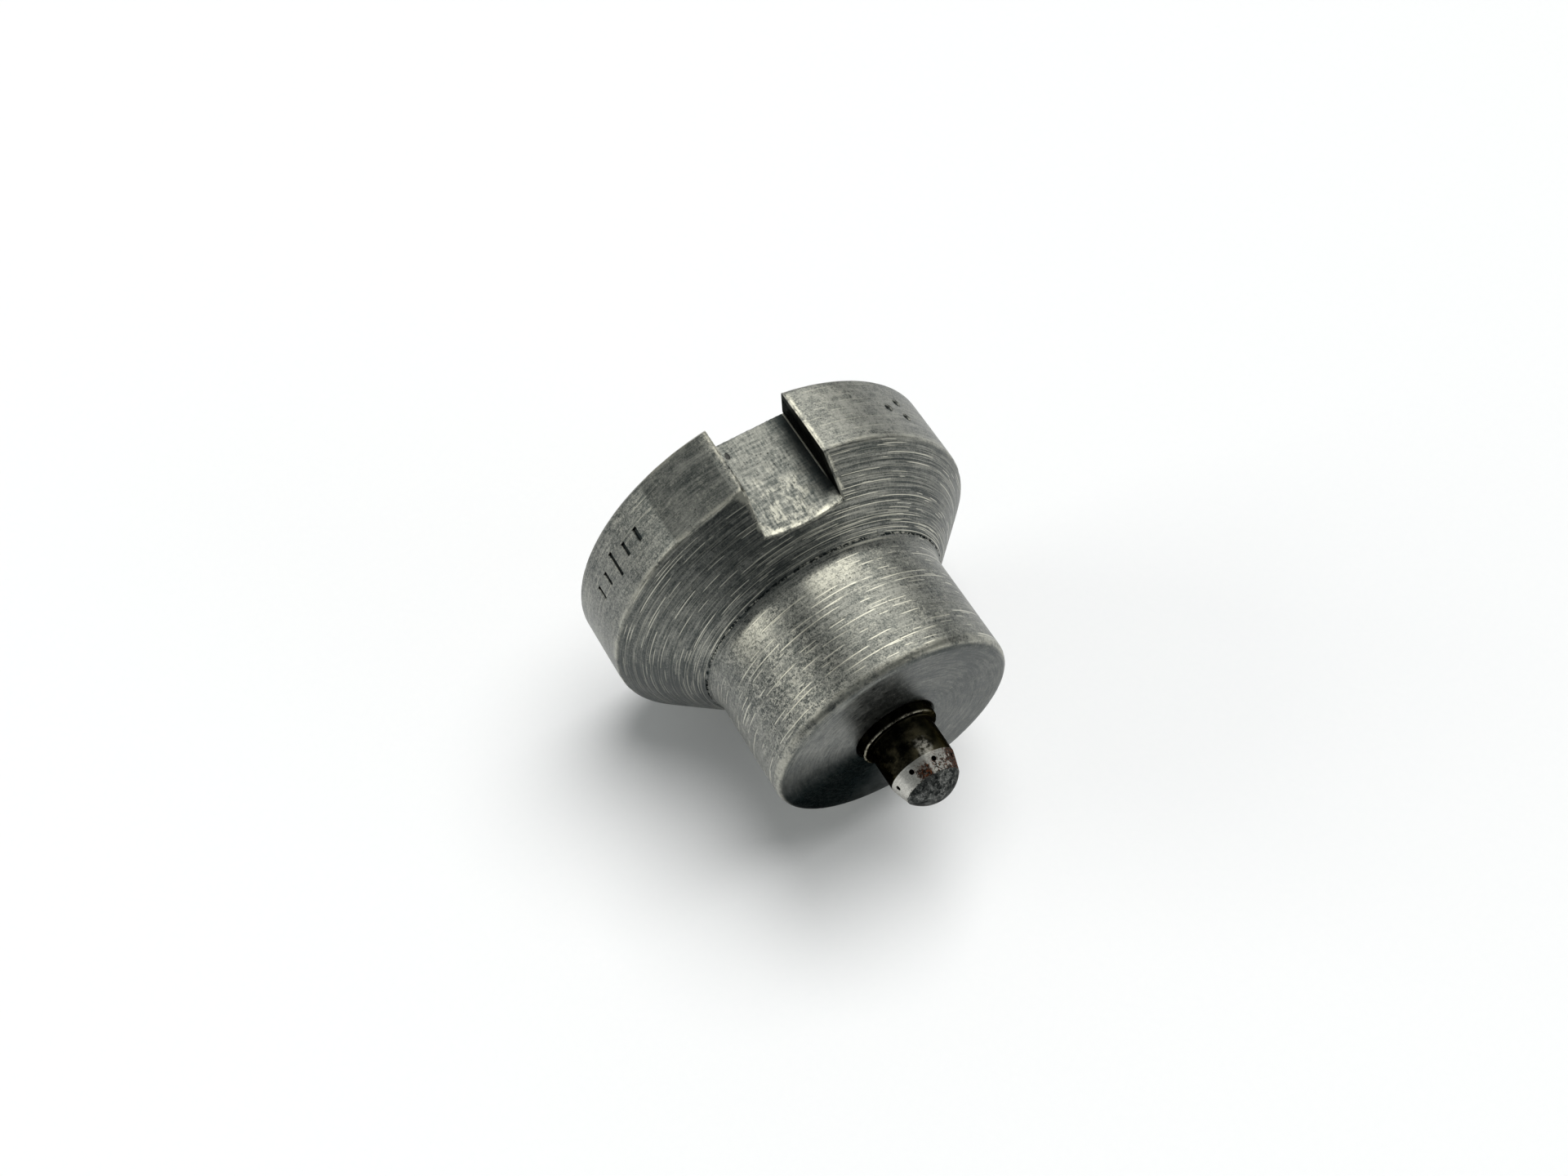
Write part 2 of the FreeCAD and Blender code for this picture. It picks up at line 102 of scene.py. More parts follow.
# Bore of the body, seen only at its two mouths
TIP_BORE_R = 2.93 * MM
STACK_BORE_R = 6.7 * MM
SHOULDER_DEPTH = 17.3 * MM
THREAD_R = 8.52 * MM
THREAD_DEPTH = 0.56 * MM
THREAD_PITCH = 1.0 * MM
THREAD_START = 0.5 * MM
THREAD_TURNS = 4
THREAD_RUNOUT = 0.6 * MM
SEAL_GROOVE_R = 9.75 * MM
SEAL_GROOVE_HALF = 0.55 * MM
SEAL_GROOVE_DEPTH = 1.05 * MM
VENT_R = 0.4 * MM
VENT_MOUTH_R = 11.8 * MM
VENT_END_R = 8.4 * MM
VENT_DEPTH = 4.8 * MM

# Spray tip
FLANGE_REAR = -TIP_BOX[1].y
FLANGE_R = TIP_BOX[1].x
FLANGE_FRONT = FLANGE_REAR + 1.8 * MM
NOSE_R = 2.85 * MM
NOSE_END = BODY_LENGTH + 0.67 * MM
BARREL_R = 2.41 * MM
BAND_START = 22.99 * MM
BAND_END = 24.33 * MM
BAND_END_R = 2.0 * MM
DOME_R = 2.48 * MM
INNER_R = 1.3 * MM
SAC_R = 0.55 * MM
SAC_DEPTH = 22.3 * MM
SPRAY_HOLES = 8
SPRAY_HOLE_R = 0.175 * MM
SPRAY_HALF_ANGLE = 72.0
FIRST_SPRAY_ANGLE = 13.0
HOLE_DEPTH = (BAND_START + BAND_END) / 2 - 0.2 * MM

# Studio
LAMP_DISTANCE = 0.9
FLOOR_RADIUS = 4.0
FLOOR_GAP = 0.02 * MM


# ---------------------------------------------------------------- camera, floor and light

def make_camera():
    azimuth, elevation, roll = math.radians(-25.35), math.radians(59.76), math.radians(-5.0)
    back = Vector((
        math.sin(azimuth) * math.cos(elevation),
        -math.cos(azimuth) * math.cos(elevation),
        math.sin(elevation),
    ))
    level = Vector((math.cos(azimuth), math.sin(azimuth), 0.0))
    turn = Matrix((level, back.cross(level), back)).transposed() @ Matrix.Rotation(roll, 3, "Z")
    aim = Vector((0.0, -COLLAR_LENGTH, 0.0))
    offset = turn @ Vector((-0.0453, -0.054, 9.7485)) * COLLAR_R
    data = bpy.data.cameras.new("camera")
    data.sensor_width = 36.0
    data.lens = 44.4
    data.clip_start = 0.005
    data.clip_end = 20.0
    camera = bpy.data.objects.new("camera", data)
    camera.matrix_world = Matrix.Translation(aim + offset) @ turn.to_4x4()
    bpy.context.scene.collection.objects.link(camera)
    bpy.context.scene.camera = camera


def area_light(name, azimuth, elevation, size, power):
    """A soft square light, aimed at the object from a direction given as for the camera."""
    data = bpy.data.lights.new(name, "AREA")
    data.shape = "SQUARE"
    data.size = size
    data.energy = power
    data.color = (1.0, 0.99, 0.94)
    light = bpy.data.objects.new(name, data)
    a, e = math.radians(azimuth), math.radians(elevation)
    back = Vector((math.sin(a) * math.cos(e), -math.cos(a) * math.cos(e), math.sin(e)))
    light.location = back * LAMP_DISTANCE
    light.rotation_mode = "QUATERNION"
    light.rotation_quaternion = back.to_track_quat("Z", "Y")
    light.visible_camera = False
    bpy.context.scene.collection.objects.link(light)
    return light


def overhead_light(azimuth, elevation, spread, strength):
    """A broad, even light from above, which reaches the whole floor and doesn't show in the metal."""
    data = bpy.data.lights.new("overhead", "SUN")
    data.angle = math.radians(spread)
    data.energy = strength
    data.color = (1.0, 0.988, 0.972)
    light = bpy.data.objects.new("overhead", data)
    a, e = math.radians(azimuth), math.radians(elevation)
    back = Vector((math.sin(a) * math.cos(e), -math.cos(a) * math.cos(e), math.sin(e)))
    light.rotation_mode = "QUATERNION"
    light.rotation_quaternion = back.to_track_quat("Z", "Y")
    light.visible_glossy = False
    bpy.context.scene.collection.objects.link(light)


def make_world():
    """A dim, even studio for the light, seen as a bright backdrop behind the floor."""
    world = bpy.data.worlds.new("studio")
    world.use_nodes = True
    bpy.context.scene.world = world
    nodes, links = world.node_tree.nodes, world.node_tree.links
    nodes.clear()
    output = nodes.new("ShaderNodeOutputWorld")
    mix = nodes.new("ShaderNodeMixShader")
    path = nodes.new("ShaderNodeLightPath")
    room = nodes.new("ShaderNodeBackground")
    room.inputs["Color"].default_value = (0.93, 0.99, 1.0, 1.0)
    room.inputs["Strength"].default_value = 0.20
    backdrop = nodes.new("ShaderNodeBackground")
    backdrop.inputs["Color"].default_value = (0.97, 0.98, 0.98, 1.0)
    backdrop.inputs["Strength"].default_value = 1.04
    links.new(path.outputs["Is Camera Ray"], mix.inputs["Fac"])
    links.new(room.outputs[0], mix.inputs[1])
    links.new(backdrop.outputs[0], mix.inputs[2])
    links.new(mix.outputs[0], output.inputs["Surface"])


def make_floor():
    mesh = bpy.data.meshes.new("floor")
    bm = bmesh.new()
    bmesh.ops.create_circle(bm, cap_ends=True, segments=64, radius=FLOOR_RADIUS)
    bm.to_mesh(mesh)
    bm.free()
    floor = bpy.data.objects.new("floor", mesh)
    floor.location = (0.0, 0.0, -COLLAR_R - FLOOR_GAP)
    bpy.context.scene.collection.objects.link(floor)
    mesh.materials.append(paper_material())


# ---------------------------------------------------------------- shader values that work like numbers

class Value:
    """An output of a material's node tree. Sums, products and comparisons of these add the nodes for them."""

    def __init__(self, tree, socket):
        self.tree = tree
        self.socket = socket

    def math(self, operation, *others):
        node = self.tree.nodes.new("ShaderNodeMath")
        node.operation = operation
        for entry, value in zip(node.inputs, (self, *others)):
            put(self.tree, entry, value)
        return Value(self.tree, node.outputs[0])

    def __add__(self, other):
        return self.math("ADD", other)

    def __sub__(self, other):
        return self.math("SUBTRACT", other)

    def __mul__(self, other):
        return self.math("MULTIPLY", other)

    def __truediv__(self, other):
        return self.math("DIVIDE", other)

    def __neg__(self):
        return self.math("MULTIPLY", -1.0)

    def __abs__(self):
        return self.math("ABSOLUTE")

    __radd__ = __add__
    __rmul__ = __mul__

    def __rsub__(self, other):
        return (-self) + other

    def least(self, other):
        return self.math("MINIMUM", other)

    def most(self, other):
        return self.math("MAXIMUM", other)

    def step(self, low, high):
        """0 below low and 1 above high, with a soft step between, or the other way round if low > high."""
        node = self.tree.nodes.new("ShaderNodeMapRange")
        node.interpolation_type = "SMOOTHSTEP"
        put(self.tree, node.inputs["Value"], self)
        put(self.tree, node.inputs["From Min"], low)
        put(self.tree, node.inputs["From Max"], high)
        return Value(self.tree, node.outputs["Result"])


def put(tree, entry, value):
    if isinstance(value, Value):
        tree.links.new(value.socket, entry)
    else:
        entry.default_value = value


class Surface:
    """A material being made, and the point it is at: along the axis and out from it, in mm, and round it."""

    def __init__(self, name):
        self.material = bpy.data.materials.new(name)
        self.material.use_nodes = True
        self.tree = self.material.node_tree
        self.shader = self.tree.nodes["Principled BSDF"]
        coordinates = self.tree.nodes.new("ShaderNodeTexCoord")
        split = self.tree.nodes.new("ShaderNodeSeparateXYZ")
        self.tree.links.new(coordinates.outputs["Object"], split.inputs[0])
        self.x, along, self.z = (Value(self.tree, output) * (1 / MM) for output in split.outputs)
        self.depth = -along
        self.radius = (self.x * self.x + self.z * self.z).math("SQRT")
        self.sine = self.x / self.radius.most(0.01)
        self.cosine = self.z / self.radius.most(0.01)

    def vector(self, x, y, z):
        node = self.tree.nodes.new("ShaderNodeCombineXYZ")
        for entry, value in zip(node.inputs, (x, y, z)):
            put(self.tree, entry, value)
        return node.outputs[0]

    def noise(self, scale, detail=2.0, rough=0.5, vector=None, shift=0.0):
        """Cloudy noise, about 0.5 on average; scale is in features for each millimetre."""
        node = self.tree.nodes.new("ShaderNodeTexNoise")
        node.inputs["Scale"].default_value = scale
        node.inputs["Detail"].default_value = detail
        node.inputs["Roughness"].default_value = rough
        point = vector or self.vector(self.x + shift, self.depth, self.z)
        self.tree.links.new(point, node.inputs["Vector"])
        return Value(self.tree, node.outputs[0])

    def turned(self, across, around, detail=2.0, shift=0.0):
        """Noise drawn out round the axis, as tool marks are, with its scale across them and around."""
        over = (self.depth - self.radius) * across + shift
        return self.noise(1.0, detail, 0.6, self.vector(over, self.sine * around, self.cosine * around))

    def facing(self, angle):
        """Cosine of the turn between the point and an angle about the axis."""
        turn = math.radians(angle)
        return self.cosine * math.cos(turn) + self.sine * math.sin(turn)

    def lines(self, pitch, width, around, cover, shift, slant=0.0):
        """Thin arcs round the axis, one to each pitch, broken off where noise is below the cover."""
        over = (self.depth - self.radius + self.sine * slant) / pitch + shift
        row = over.math("FLOOR")
        node = self.tree.nodes.new("ShaderNodeTexWhiteNoise")
        node.noise_dimensions = "1D"
        put(self.tree, node.inputs["W"], row)
        place = Value(self.tree, node.outputs["Value"]) * 0.6 + 0.2
        along = self.noise(1.0, 1.0, 0.5, self.vector(row * 3.7, self.sine * around, self.cosine * around))
        line = abs(over - row - place).step(width / pitch, 0.35 * width / pitch)
        return line * along.step(cover, cover + 0.05)

    def cells(self, scale, shift=0.0):
        """Distance to the nearest of a scatter of points, in parts of their spacing."""
        node = self.tree.nodes.new("ShaderNodeTexVoronoi")
        node.inputs["Scale"].default_value = scale
        self.tree.links.new(self.vector(self.x + shift, self.depth, self.z), node.inputs["Vector"])
        return Value(self.tree, node.outputs["Distance"])

    def mix(self, share, first, second):
        node = self.tree.nodes.new("ShaderNodeMix")
        node.data_type = "RGBA"
        entries = [entry for entry in node.inputs if entry.type == "RGBA"]
        put(self.tree, node.inputs[0], share)
        put(self.tree, entries[0], rgba(first))
        put(self.tree, entries[1], rgba(second))
        return Value(self.tree, [output for output in node.outputs if output.type == "RGBA"][0])

    def finish(self, colour, roughness, height=None, relief=0.0, metallic=1.0, specular=0.5, glancing=1.0):
        """Glancing is how much of the shine a metal has at shallow angles is left under dirt and under
        painted shade.
        """
        put(self.tree, self.shader.inputs["Base Color"], rgba(colour))
        put(self.tree, self.shader.inputs["Roughness"], roughness)
        put(self.tree, self.shader.inputs["Metallic"], metallic)
        self.shader.inputs["Specular IOR Level"].default_value = specular
        tint = glancing if isinstance(glancing, Value) else (glancing, glancing, glancing, 1.0)
        put(self.tree, self.shader.inputs["Specular Tint"], tint)
        if height is not None:
            bump = self.tree.nodes.new("ShaderNodeBump")
            bump.inputs["Distance"].default_value = relief
            put(self.tree, bump.inputs["Height"], height)
            self.tree.links.new(bump.outputs[0], self.shader.inputs["Normal"])
        return self.material


def rgba(colour):
    return colour if isinstance(colour, Value) else (*colour, 1.0)


# ---------------------------------------------------------------- materials

def paper_material():
    """White studio paper, with a faint painted glow far from the object so that it runs into the backdrop."""
    paper = Surface("paper")
    fibre = paper.noise(2.0, 3.0)
    cloud = paper.noise(0.01, 2.0)
    colour = paper.mix(fibre * 0.5 + cloud * 0.5, (0.87, 0.885, 0.90), (0.91, 0.915, 0.92))
    distance = (paper.x * paper.x + paper.depth * paper.depth).math("SQRT")
    # The painted glow grows with distance from the object.
    put(paper.tree, paper.shader.inputs["Emission Color"], (0.97, 0.98, 0.98, 1.0))
    put(paper.tree, paper.shader.inputs["Emission Strength"], distance.step(250.0, 1300.0) * 0.20)
    return paper.finish(colour, 0.75, fibre, 0.01 * MM, metallic=0.0, specular=0.2)


class BodySteel(Surface):
    """The body's steel: how far a point lies on each face, from 0 to 1, and the noises its marks share."""

    def __init__(self):
        super().__init__("worn_turned_steel")
        self.find_faces()
        self.cloud = self.noise(0.30, 3.0)
        self.patch = self.noise(1.1, 4.0, 0.6, shift=7.0)
        self.grain = self.noise(3.6, 2.0, 0.8)
        self.speckle = self.noise(9.0, 2.0, 0.8, shift=3.0)
        self.flecks = self.grain * 0.6 + self.speckle * 0.4
        self.fine = self.turned(6.0, 5.0, 3.0)
        self.lathe = self.turned(3.6, 1.2, 4.0, shift=3.0)
        self.broken = self.noise(1.0, 3.0, 0.6, shift=2.0)
        self.ragged = self.noise(5.0, 3.0, 0.6)
        self.milled = self.noise(1.0, 3.0, 0.6, self.vector(self.x * 6.0, self.depth * 1.0, 0.0))
        crossed = self.noise(1.0, 3.0, 0.6, self.vector(self.x * 1.0, self.depth * 5.0, 4.0))
        self.slot_tone = self.milled * 0.5 + crossed * 0.5
        # A painted highlight: a speckled strip along the shank at -42°.
        self.speckled_highlight = self.on_shank * self.facing(-42.0).step(0.88, 0.99) * self.patch.step(0.40, 0.60)

    def find_faces(self):
        collar_end, neck, end = COLLAR_LENGTH / MM, NECK_DEPTH / MM, BODY_LENGTH / MM
        depth = self.depth
        under_collar = COLLAR_R / MM - self.radius
        under_cone = (collar_end - depth) + under_collar / CONE_SLOPE
        self.buried = under_collar.least(under_cone * 0.7)
        self.on_slot = abs(self.x).step(3.05, 2.95) * self.z.step(11.0, 11.1)
        self.outside = 1.0 - self.on_slot
        before_edge = depth.step(collar_end + 0.05, collar_end - 0.05)
        past_edge = depth.step(collar_end - 0.05, collar_end + 0.05)
        self.on_collar = before_edge * depth.step(0.15, 0.25) * self.outside
        self.on_cone = past_edge * depth.step(neck + 0.5, neck - 0.1) * self.outside
        self.on_neck = depth.step(neck - 1.6, neck - 0.2) * depth.step(neck + 0.6, neck + 0.3)
        self.on_shank = depth.step(neck + 0.3, neck + 0.9) * depth.step(end - 0.3, end - 0.7)
        self.on_end = depth.step(end - 0.35, end - 0.05)
        self.on_flat = self.facing(FLAT_ANGLE).step(0.980, 0.984) * self.on_collar


def body_tone(steel):
    """The dull steel's tone, dark to light: clouded, grained, streaked round the turn, with painted light and
    shade.
    """
    on_cone, on_end, on_slot = steel.on_cone, steel.on_end, steel.on_slot
    # The grain shows more in the shank's painted highlight.
    lively = 1.0 - on_cone * 0.4 - on_end * 0.6 - steel.on_flat * 0.5 - on_slot * 0.5 + steel.speckled_highlight * 1.2
    grains = (steel.grain - 0.5) * 1.2 + (steel.speckle - 0.5) * 1.6
    tone = 0.5 + (steel.cloud - 0.5) * 0.5 + (steel.patch - 0.5) * 0.7 + grains * lively
    lined = on_cone * steel.on_neck.most(steel.facing(38.0).step(0.80, 0.95))
    streaks = (steel.fine - 0.5) * (0.9 + lined * 0.6)
    streaks = streaks + (steel.lathe - 0.5) * (0.3 + on_cone * 0.4 + lined * 0.8)
    tone = tone + steel.outside * streaks + on_slot * ((steel.slot_tone - 0.5) * 2.4 - 0.08)
    # The cone and the end face are painted darker, as shade.
    return tone - on_cone * 0.21 - on_end * 0.34 + painted_light_and_shade(steel)


def painted_light_and_shade(steel):
    """Painted highlight beside the slot and high on the end face, painted shade low on the cone, and darker
    across the slot.
    """
    beside_slot = steel.facing(33.0).step(0.940, 0.985) * steel.on_collar
    across_slot = steel.facing(-34.0).step(0.90, 0.97) * steel.on_collar
    under_cone = steel.facing(-115.0).step(0.70, 0.97) * steel.on_cone
    upper_end = steel.facing(-50.0).step(0.4, 1.0) * steel.on_end
    lighter = beside_slot * (0.14 + steel.patch.step(0.46, 0.60) * 0.18) + upper_end * 0.22
    return lighter - across_slot * 0.14 - under_cone * 0.38


def scratches(steel):
    """Thin bright arcs round the turn: long ones, short ones, and a close run beside the neck, dimmed low on
    the cone as painted shade.
    """
    long_lines = steel.lines(0.50, 0.055, 2.4, 0.55, 0.0, 0.20)
    short_lines = steel.lines(0.37, 0.050, 4.5, 0.59, 0.4, -0.15)
    neck_lines = steel.lines(0.24, 0.050, 1.7, 0.52, 0.7)
    lines = long_lines.most(short_lines * 0.85) * (0.25 + steel.on_shank * 0.62 + steel.on_cone * 0.65)
    lines = lines.most(neck_lines * steel.on_cone * (0.20 + steel.on_neck * 0.55))
    lines = lines * (1.0 - steel.on_flat * 0.7)
    # Dimmer low on the cone: painted shade.
    return lines * (1.0 - steel.on_cone * steel.facing(-110.0).step(0.50, 0.95) * 0.55)


def rubbed_patches_and_highlights(steel):
    """Patches rubbed bright on the shank and the collar, and painted highlights: a speckled strip along the
    shank and two stretches beside the neck.
    """
    neck_highlights = steel.facing(-45.0).step(0.965, 0.995).most(steel.facing(0.0).step(0.965, 0.995))
    neck_highlights = neck_highlights * steel.depth.step(13.4, 11.6) * steel.depth.step(10.4, 11.0)
    patches = steel.noise(0.9, 3.0, 0.6, shift=13.0).step(0.50, 0.62)
    rubs_and_highlights = (patches * 0.4).most(steel.speckled_highlight * 0.6) * steel.flecks.step(0.48, 0.60)
    rubs_and_highlights = rubs_and_highlights.most(neck_highlights * (0.3 + steel.flecks.step(0.40, 0.58) * 0.7))
    return rubs_and_highlights * (steel.on_shank * 0.55 + steel.on_collar * 0.3)


def worn_edges(steel):
    """Bright metal along the edges of the collar, the slot, the rear face and the end face."""
    x, z, depth, radius, rough = steel.x, steel.z, steel.depth, steel.radius, steel.ragged - 0.5
    collar_end, end = COLLAR_LENGTH / MM, BODY_LENGTH / MM
    collar_edge = abs(depth - collar_end + 0.08).step(0.34, 0.02) * radius.step(13.0, 13.4) * steel.outside
    slot_lip = steel.on_slot * (steel.buried + rough * 0.6).step(0.36, 0.12)
    slot_edge = (abs(abs(x) - 3.0) - rough * 0.4).step(0.30, 0.06) * z.step(11.4, 11.6)
    rear_edge = depth.step(0.4, 0.1) * radius.step(13.4, 13.8)
    end_edge = depth.step(end - 0.9, end - 0.6) * depth.step(end - 0.05, end - 0.2) * radius.step(8.2, 8.6)
    wear = (slot_lip * 0.85).most(slot_edge * 0.7)
    for edge in (collar_edge, rear_edge, end_edge):
        wear = wear.most(edge * 0.4)
    return wear * (steel.ragged * 0.6 + steel.broken * 0.9 - 0.3).step(0.26, 0.56)


def slot_wear(steel):
    """The front of the slot's floor, rubbed by the key, and a knocked corner beside it."""
    x, depth = steel.x, steel.depth
    rubbed = steel.on_slot * depth.step(2.6, 5.0) * x.step(2.0, 0.6) * steel.patch.step(0.44, 0.58)
    rubbed = rubbed * (steel.milled * 0.5 + steel.grain * 0.5).step(0.42, 0.58) * 0.42
    knocked = abs(x + 3.15) + abs(depth - 5.75) + (steel.ragged - 0.5) * 0.5
    return rubbed.most(knocked.step(0.75, 0.35) * steel.z.step(12.5, 13.0) * 0.8)


def pits_and_specks(steel):
    """Scattered pits, one of them on the slot's floor, and finer specks, thickest on the end face."""
    x, depth = steel.x, steel.depth
    pits = steel.cells(1.7, 3.0).step(0.10, 0.05) * steel.noise(0.5, 1.0, shift=4.0).step(0.50, 0.58)
    dent = ((x + 2.0) * (x + 2.0) + (depth - 1.2) * (depth - 1.2) * 0.3).step(0.035, 0.012)
    specked = (steel.noise(0.8, 1.0, shift=9.0) + steel.on_end * 0.07).step(0.48, 0.57)
    return pits.most(dent * steel.on_slot), steel.cells(4.5).step(0.20, 0.10) * specked


def painted_shade_and_soot(steel):
    """Painted shade in the neck's corner, the marks and one side of the slot, and on the end face, with some
    soot there.
    """
    x, depth, patch, rough = steel.x, steel.depth, steel.patch - 0.5, steel.ragged - 0.5
    # A dark line in the neck's corner: painted shade of a fine crease.
    neck_crease_shade = abs(depth - NECK_DEPTH / MM - 0.02 - rough * 0.1).step(0.12, 0.03)
    neck_crease_shade = neck_crease_shade * steel.ragged.step(0.40, 0.52) * steel.broken.step(0.36, 0.52)
    # Dark in the stamped marks: painted shade in their recesses.
    in_marks = (steel.buried - 0.02).step(0.04, 0.10) * steel.radius.step(13.2, 13.4)
    in_marks = in_marks * steel.on_collar * (1.0 - steel.on_flat)
    # The slot's right wall and the floor beside it: painted shade where the wall keeps the light off.
    wall = steel.on_slot * x.step(2.80, 2.88) * (steel.buried - 0.15).step(0.0, 0.15)
    shade = steel.on_slot * (x + patch * 0.8).step(0.9, 2.6) * (steel.buried + rough * 0.4).step(0.3, 0.9)
    # The end face, dark on the side at 230° and round the tip: painted shade of the floor's shadow seen in
    # it, with some soot.
    soot = (steel.facing(230.0) + patch * 0.4).step(0.20, 1.10) * 0.90
    ring = (steel.radius + patch * 1.4).step(6.6, 2.9) * (0.10 - steel.facing(80.0) * 0.10)
    soot = soot.most(ring) * steel.on_end
    return neck_crease_shade.most(in_marks * 0.9).most(wall * 0.86).most(shade * 0.93).most(soot)


def body_material():
    """Turned steel, dulled by heat and handling, scratched round the turn, worn bright along its edges, with
    painted highlights and shade.
    """
    steel = BodySteel()
    lines = scratches(steel)
    hair = steel.turned(13.0, 1.8, 1.0, shift=5.0).step(0.60, 0.68)
    bright = lines.most(hair * (steel.on_cone * 0.20 + steel.on_neck * 0.4 + steel.on_shank * 0.15))
    bright = bright.most(rubbed_patches_and_highlights(steel)) * steel.outside * (1.0 - steel.on_end)
    bright = bright.most(worn_edges(steel)).most(slot_wear(steel))
    pits, specks = pits_and_specks(steel)
    shade_and_soot = painted_shade_and_soot(steel)
    slot_corner = steel.on_slot * abs(steel.x - 2.86).step(0.07, 0.03) * steel.z.step(11.32, 11.24)
    slot_corner = slot_corner * steel.depth.step(6.4, 5.2) * 0.7

    colour = steel.mix(body_tone(steel).step(-0.1, 1.1), (0.054, 0.061, 0.059), (0.320, 0.322, 0.292))
    # The bright colour covers scratches, rubs, worn edges and the painted highlights on the shank.
    colour = steel.mix(bright, colour, (0.64, 0.625, 0.53))
    # Near black for the painted shade and the end face's soot; it also dims the shine at shallow angles.
    colour = steel.mix(shade_and_soot, colour, (0.010, 0.014, 0.015))
    colour = steel.mix(slot_corner, colour, (0.42, 0.42, 0.37))
    colour = steel.mix(pits.most(specks * 0.6) * 0.85, colour, (0.018, 0.018, 0.018))

    roughness = 0.42 + (steel.patch - 0.5) * 0.25 + (steel.grain - 0.5) * 0.3 - bright * 0.08
    height = steel.fine * (0.2 + steel.on_cone * 0.5) + steel.lathe * (0.2 + steel.on_cone) - lines * 0.5
    height = height + (steel.speckle + steel.grain) * 0.5 + steel.on_slot * steel.slot_tone
    height = height - pits * 2.0 - specks
    roughness = roughness - steel.on_end * 0.06
    return steel.finish(colour, roughness, height, 0.012 * MM, glancing=1.0 - shade_and_soot * 0.75)


class TipSteel(Surface):
    """The tip's steel, with the noises that its parts share."""

    def __init__(self):
        super().__init__("blackened_tip_steel")
        self.ragged = self.noise(3.0, 3.0, 0.6)
        self.patch = self.noise(1.2, 3.0, 0.6, shift=5.0)
        self.grain = self.noise(8.0, 3.0, 0.7)
        self.fine = self.turned(12.0, 4.0, 3.0)
        self.blotch = self.noise(4.0, 4.0, 0.7, shift=8.0)
        start, end = BAND_START / MM, BAND_END / MM
        self.on_band = self.depth.step(start - 0.02, start + 0.02) * self.depth.step(end + 0.02, end - 0.02)
        self.on_dome = self.depth.step(end - 0.02, end + 0.02)


def barrel_colour(steel):
    """Oil-blackened, olive in patches where the oil has turned brown, with painted highlights: a pale stripe
    beside a spray hole and a warm sheen at 58°.
    """
    colour = steel.mix(steel.patch.step(0.42, 0.68), (0.003, 0.003, 0.002), (0.030, 0.027, 0.016))
    turned = (steel.fine * 0.6 + steel.grain * 0.4).step(0.52, 0.72)
    colour = steel.mix(turned * 0.35, colour, (0.085, 0.080, 0.062))
    # A painted highlight: a pale stripe at 9° along the barrel, beside a spray hole.
    highlight_streak = (steel.facing(9.0) + (steel.ragged - 0.5) * 0.02).step(0.965, 0.995)
    highlight_streak = highlight_streak * steel.depth.step(21.4, 22.4) * steel.ragged.step(0.40, 0.62)
    colour = steel.mix(highlight_streak * 0.8, colour, (0.19, 0.185, 0.165))
    # A painted highlight: a warm brown sheen on the barrel's side at 58°.
    warm_highlight = (steel.facing(58.0) + (steel.patch - 0.5) * 0.6).step(0.70, 1.0)
    return steel.mix(warm_highlight * 0.6, colour, (0.070, 0.064, 0.040))


def dome_colour(steel):
    """Dull and mottled, with a few pale scuffs."""
    mottle = steel.noise(2.4, 4.0, 0.7, shift=9.0)
    mottled = (mottle * 0.6 + steel.grain * 0.4).step(0.40, 0.60)
    colour = steel.mix(mottled, (0.010, 0.012, 0.012), (0.100, 0.105, 0.100))
    scuff = abs(steel.noise(2.6, 3.0, 0.6, shift=3.0) - 0.5).step(0.035, 0.010) * mottle.step(0.44, 0.54)
    return steel.mix(scuff * 0.4, colour, (0.42, 0.42, 0.40))


def stained_band(steel, colour):
    """Lays the band's smear, rust and soot over the colour, and gives the new colour and the rust."""
    blotch, on_band = steel.blotch, steel.on_band
    veins = abs(steel.noise(2.6, 3.0, 0.65, shift=4.0) - 0.5).step(0.075, 0.035)
    low = (steel.depth + (blotch - 0.5) * 1.2).step(23.2, 23.8)
    smear = (steel.facing(-14.0) + (blotch - 0.5) * 0.10).step(0.955, 0.990) * on_band
    colour = steel.mix(smear * (0.35 + low * 0.5), colour, (0.075, 0.062, 0.052))
    veined = steel.facing(26.0).step(0.90, 0.96) * veins * blotch.step(0.36, 0.50) * (0.4 + low * 0.6)
    side = (steel.facing(66.0) + (blotch - 0.5) * 0.6).step(0.84, 0.93) * 0.97
    rust = (smear * low * blotch.step(0.44, 0.52)).most(veined).most(side)
    rust = rust.most(veins * blotch.step(0.62, 0.70) * 0.7) * on_band
    redness = steel.noise(9.0, 3.0, shift=1.0).step(0.46, 0.62)
    colour = steel.mix(rust * 0.92, colour, steel.mix(redness, (0.012, 0.008, 0.006), (0.17, 0.050, 0.018)))
    band_end = BAND_END / MM
    soot = on_band * steel.depth.step(band_end - 0.14, band_end - 0.02) * steel.ragged.step(0.48, 0.56)
    return steel.mix(soot * 0.85, colour, (0.03, 0.028, 0.025)), rust


def lip_wear_and_highlight(steel):
    """A broken bright line round the lip where the tip leaves the body: a worn edge, painted as a highlight
    on the side towards -35° only.
    """
    lip = abs(steel.radius - 2.78).step(0.10, 0.03)
    lip = lip * steel.depth.step(20.0, 20.1) * steel.depth.step(20.4, 20.2)
    lip = lip * (0.10 + (steel.ragged * 0.5 + steel.grain * 0.5).step(0.42, 0.54) * 0.90)
    return lip * steel.facing(-35.0).step(-0.2, 0.6)


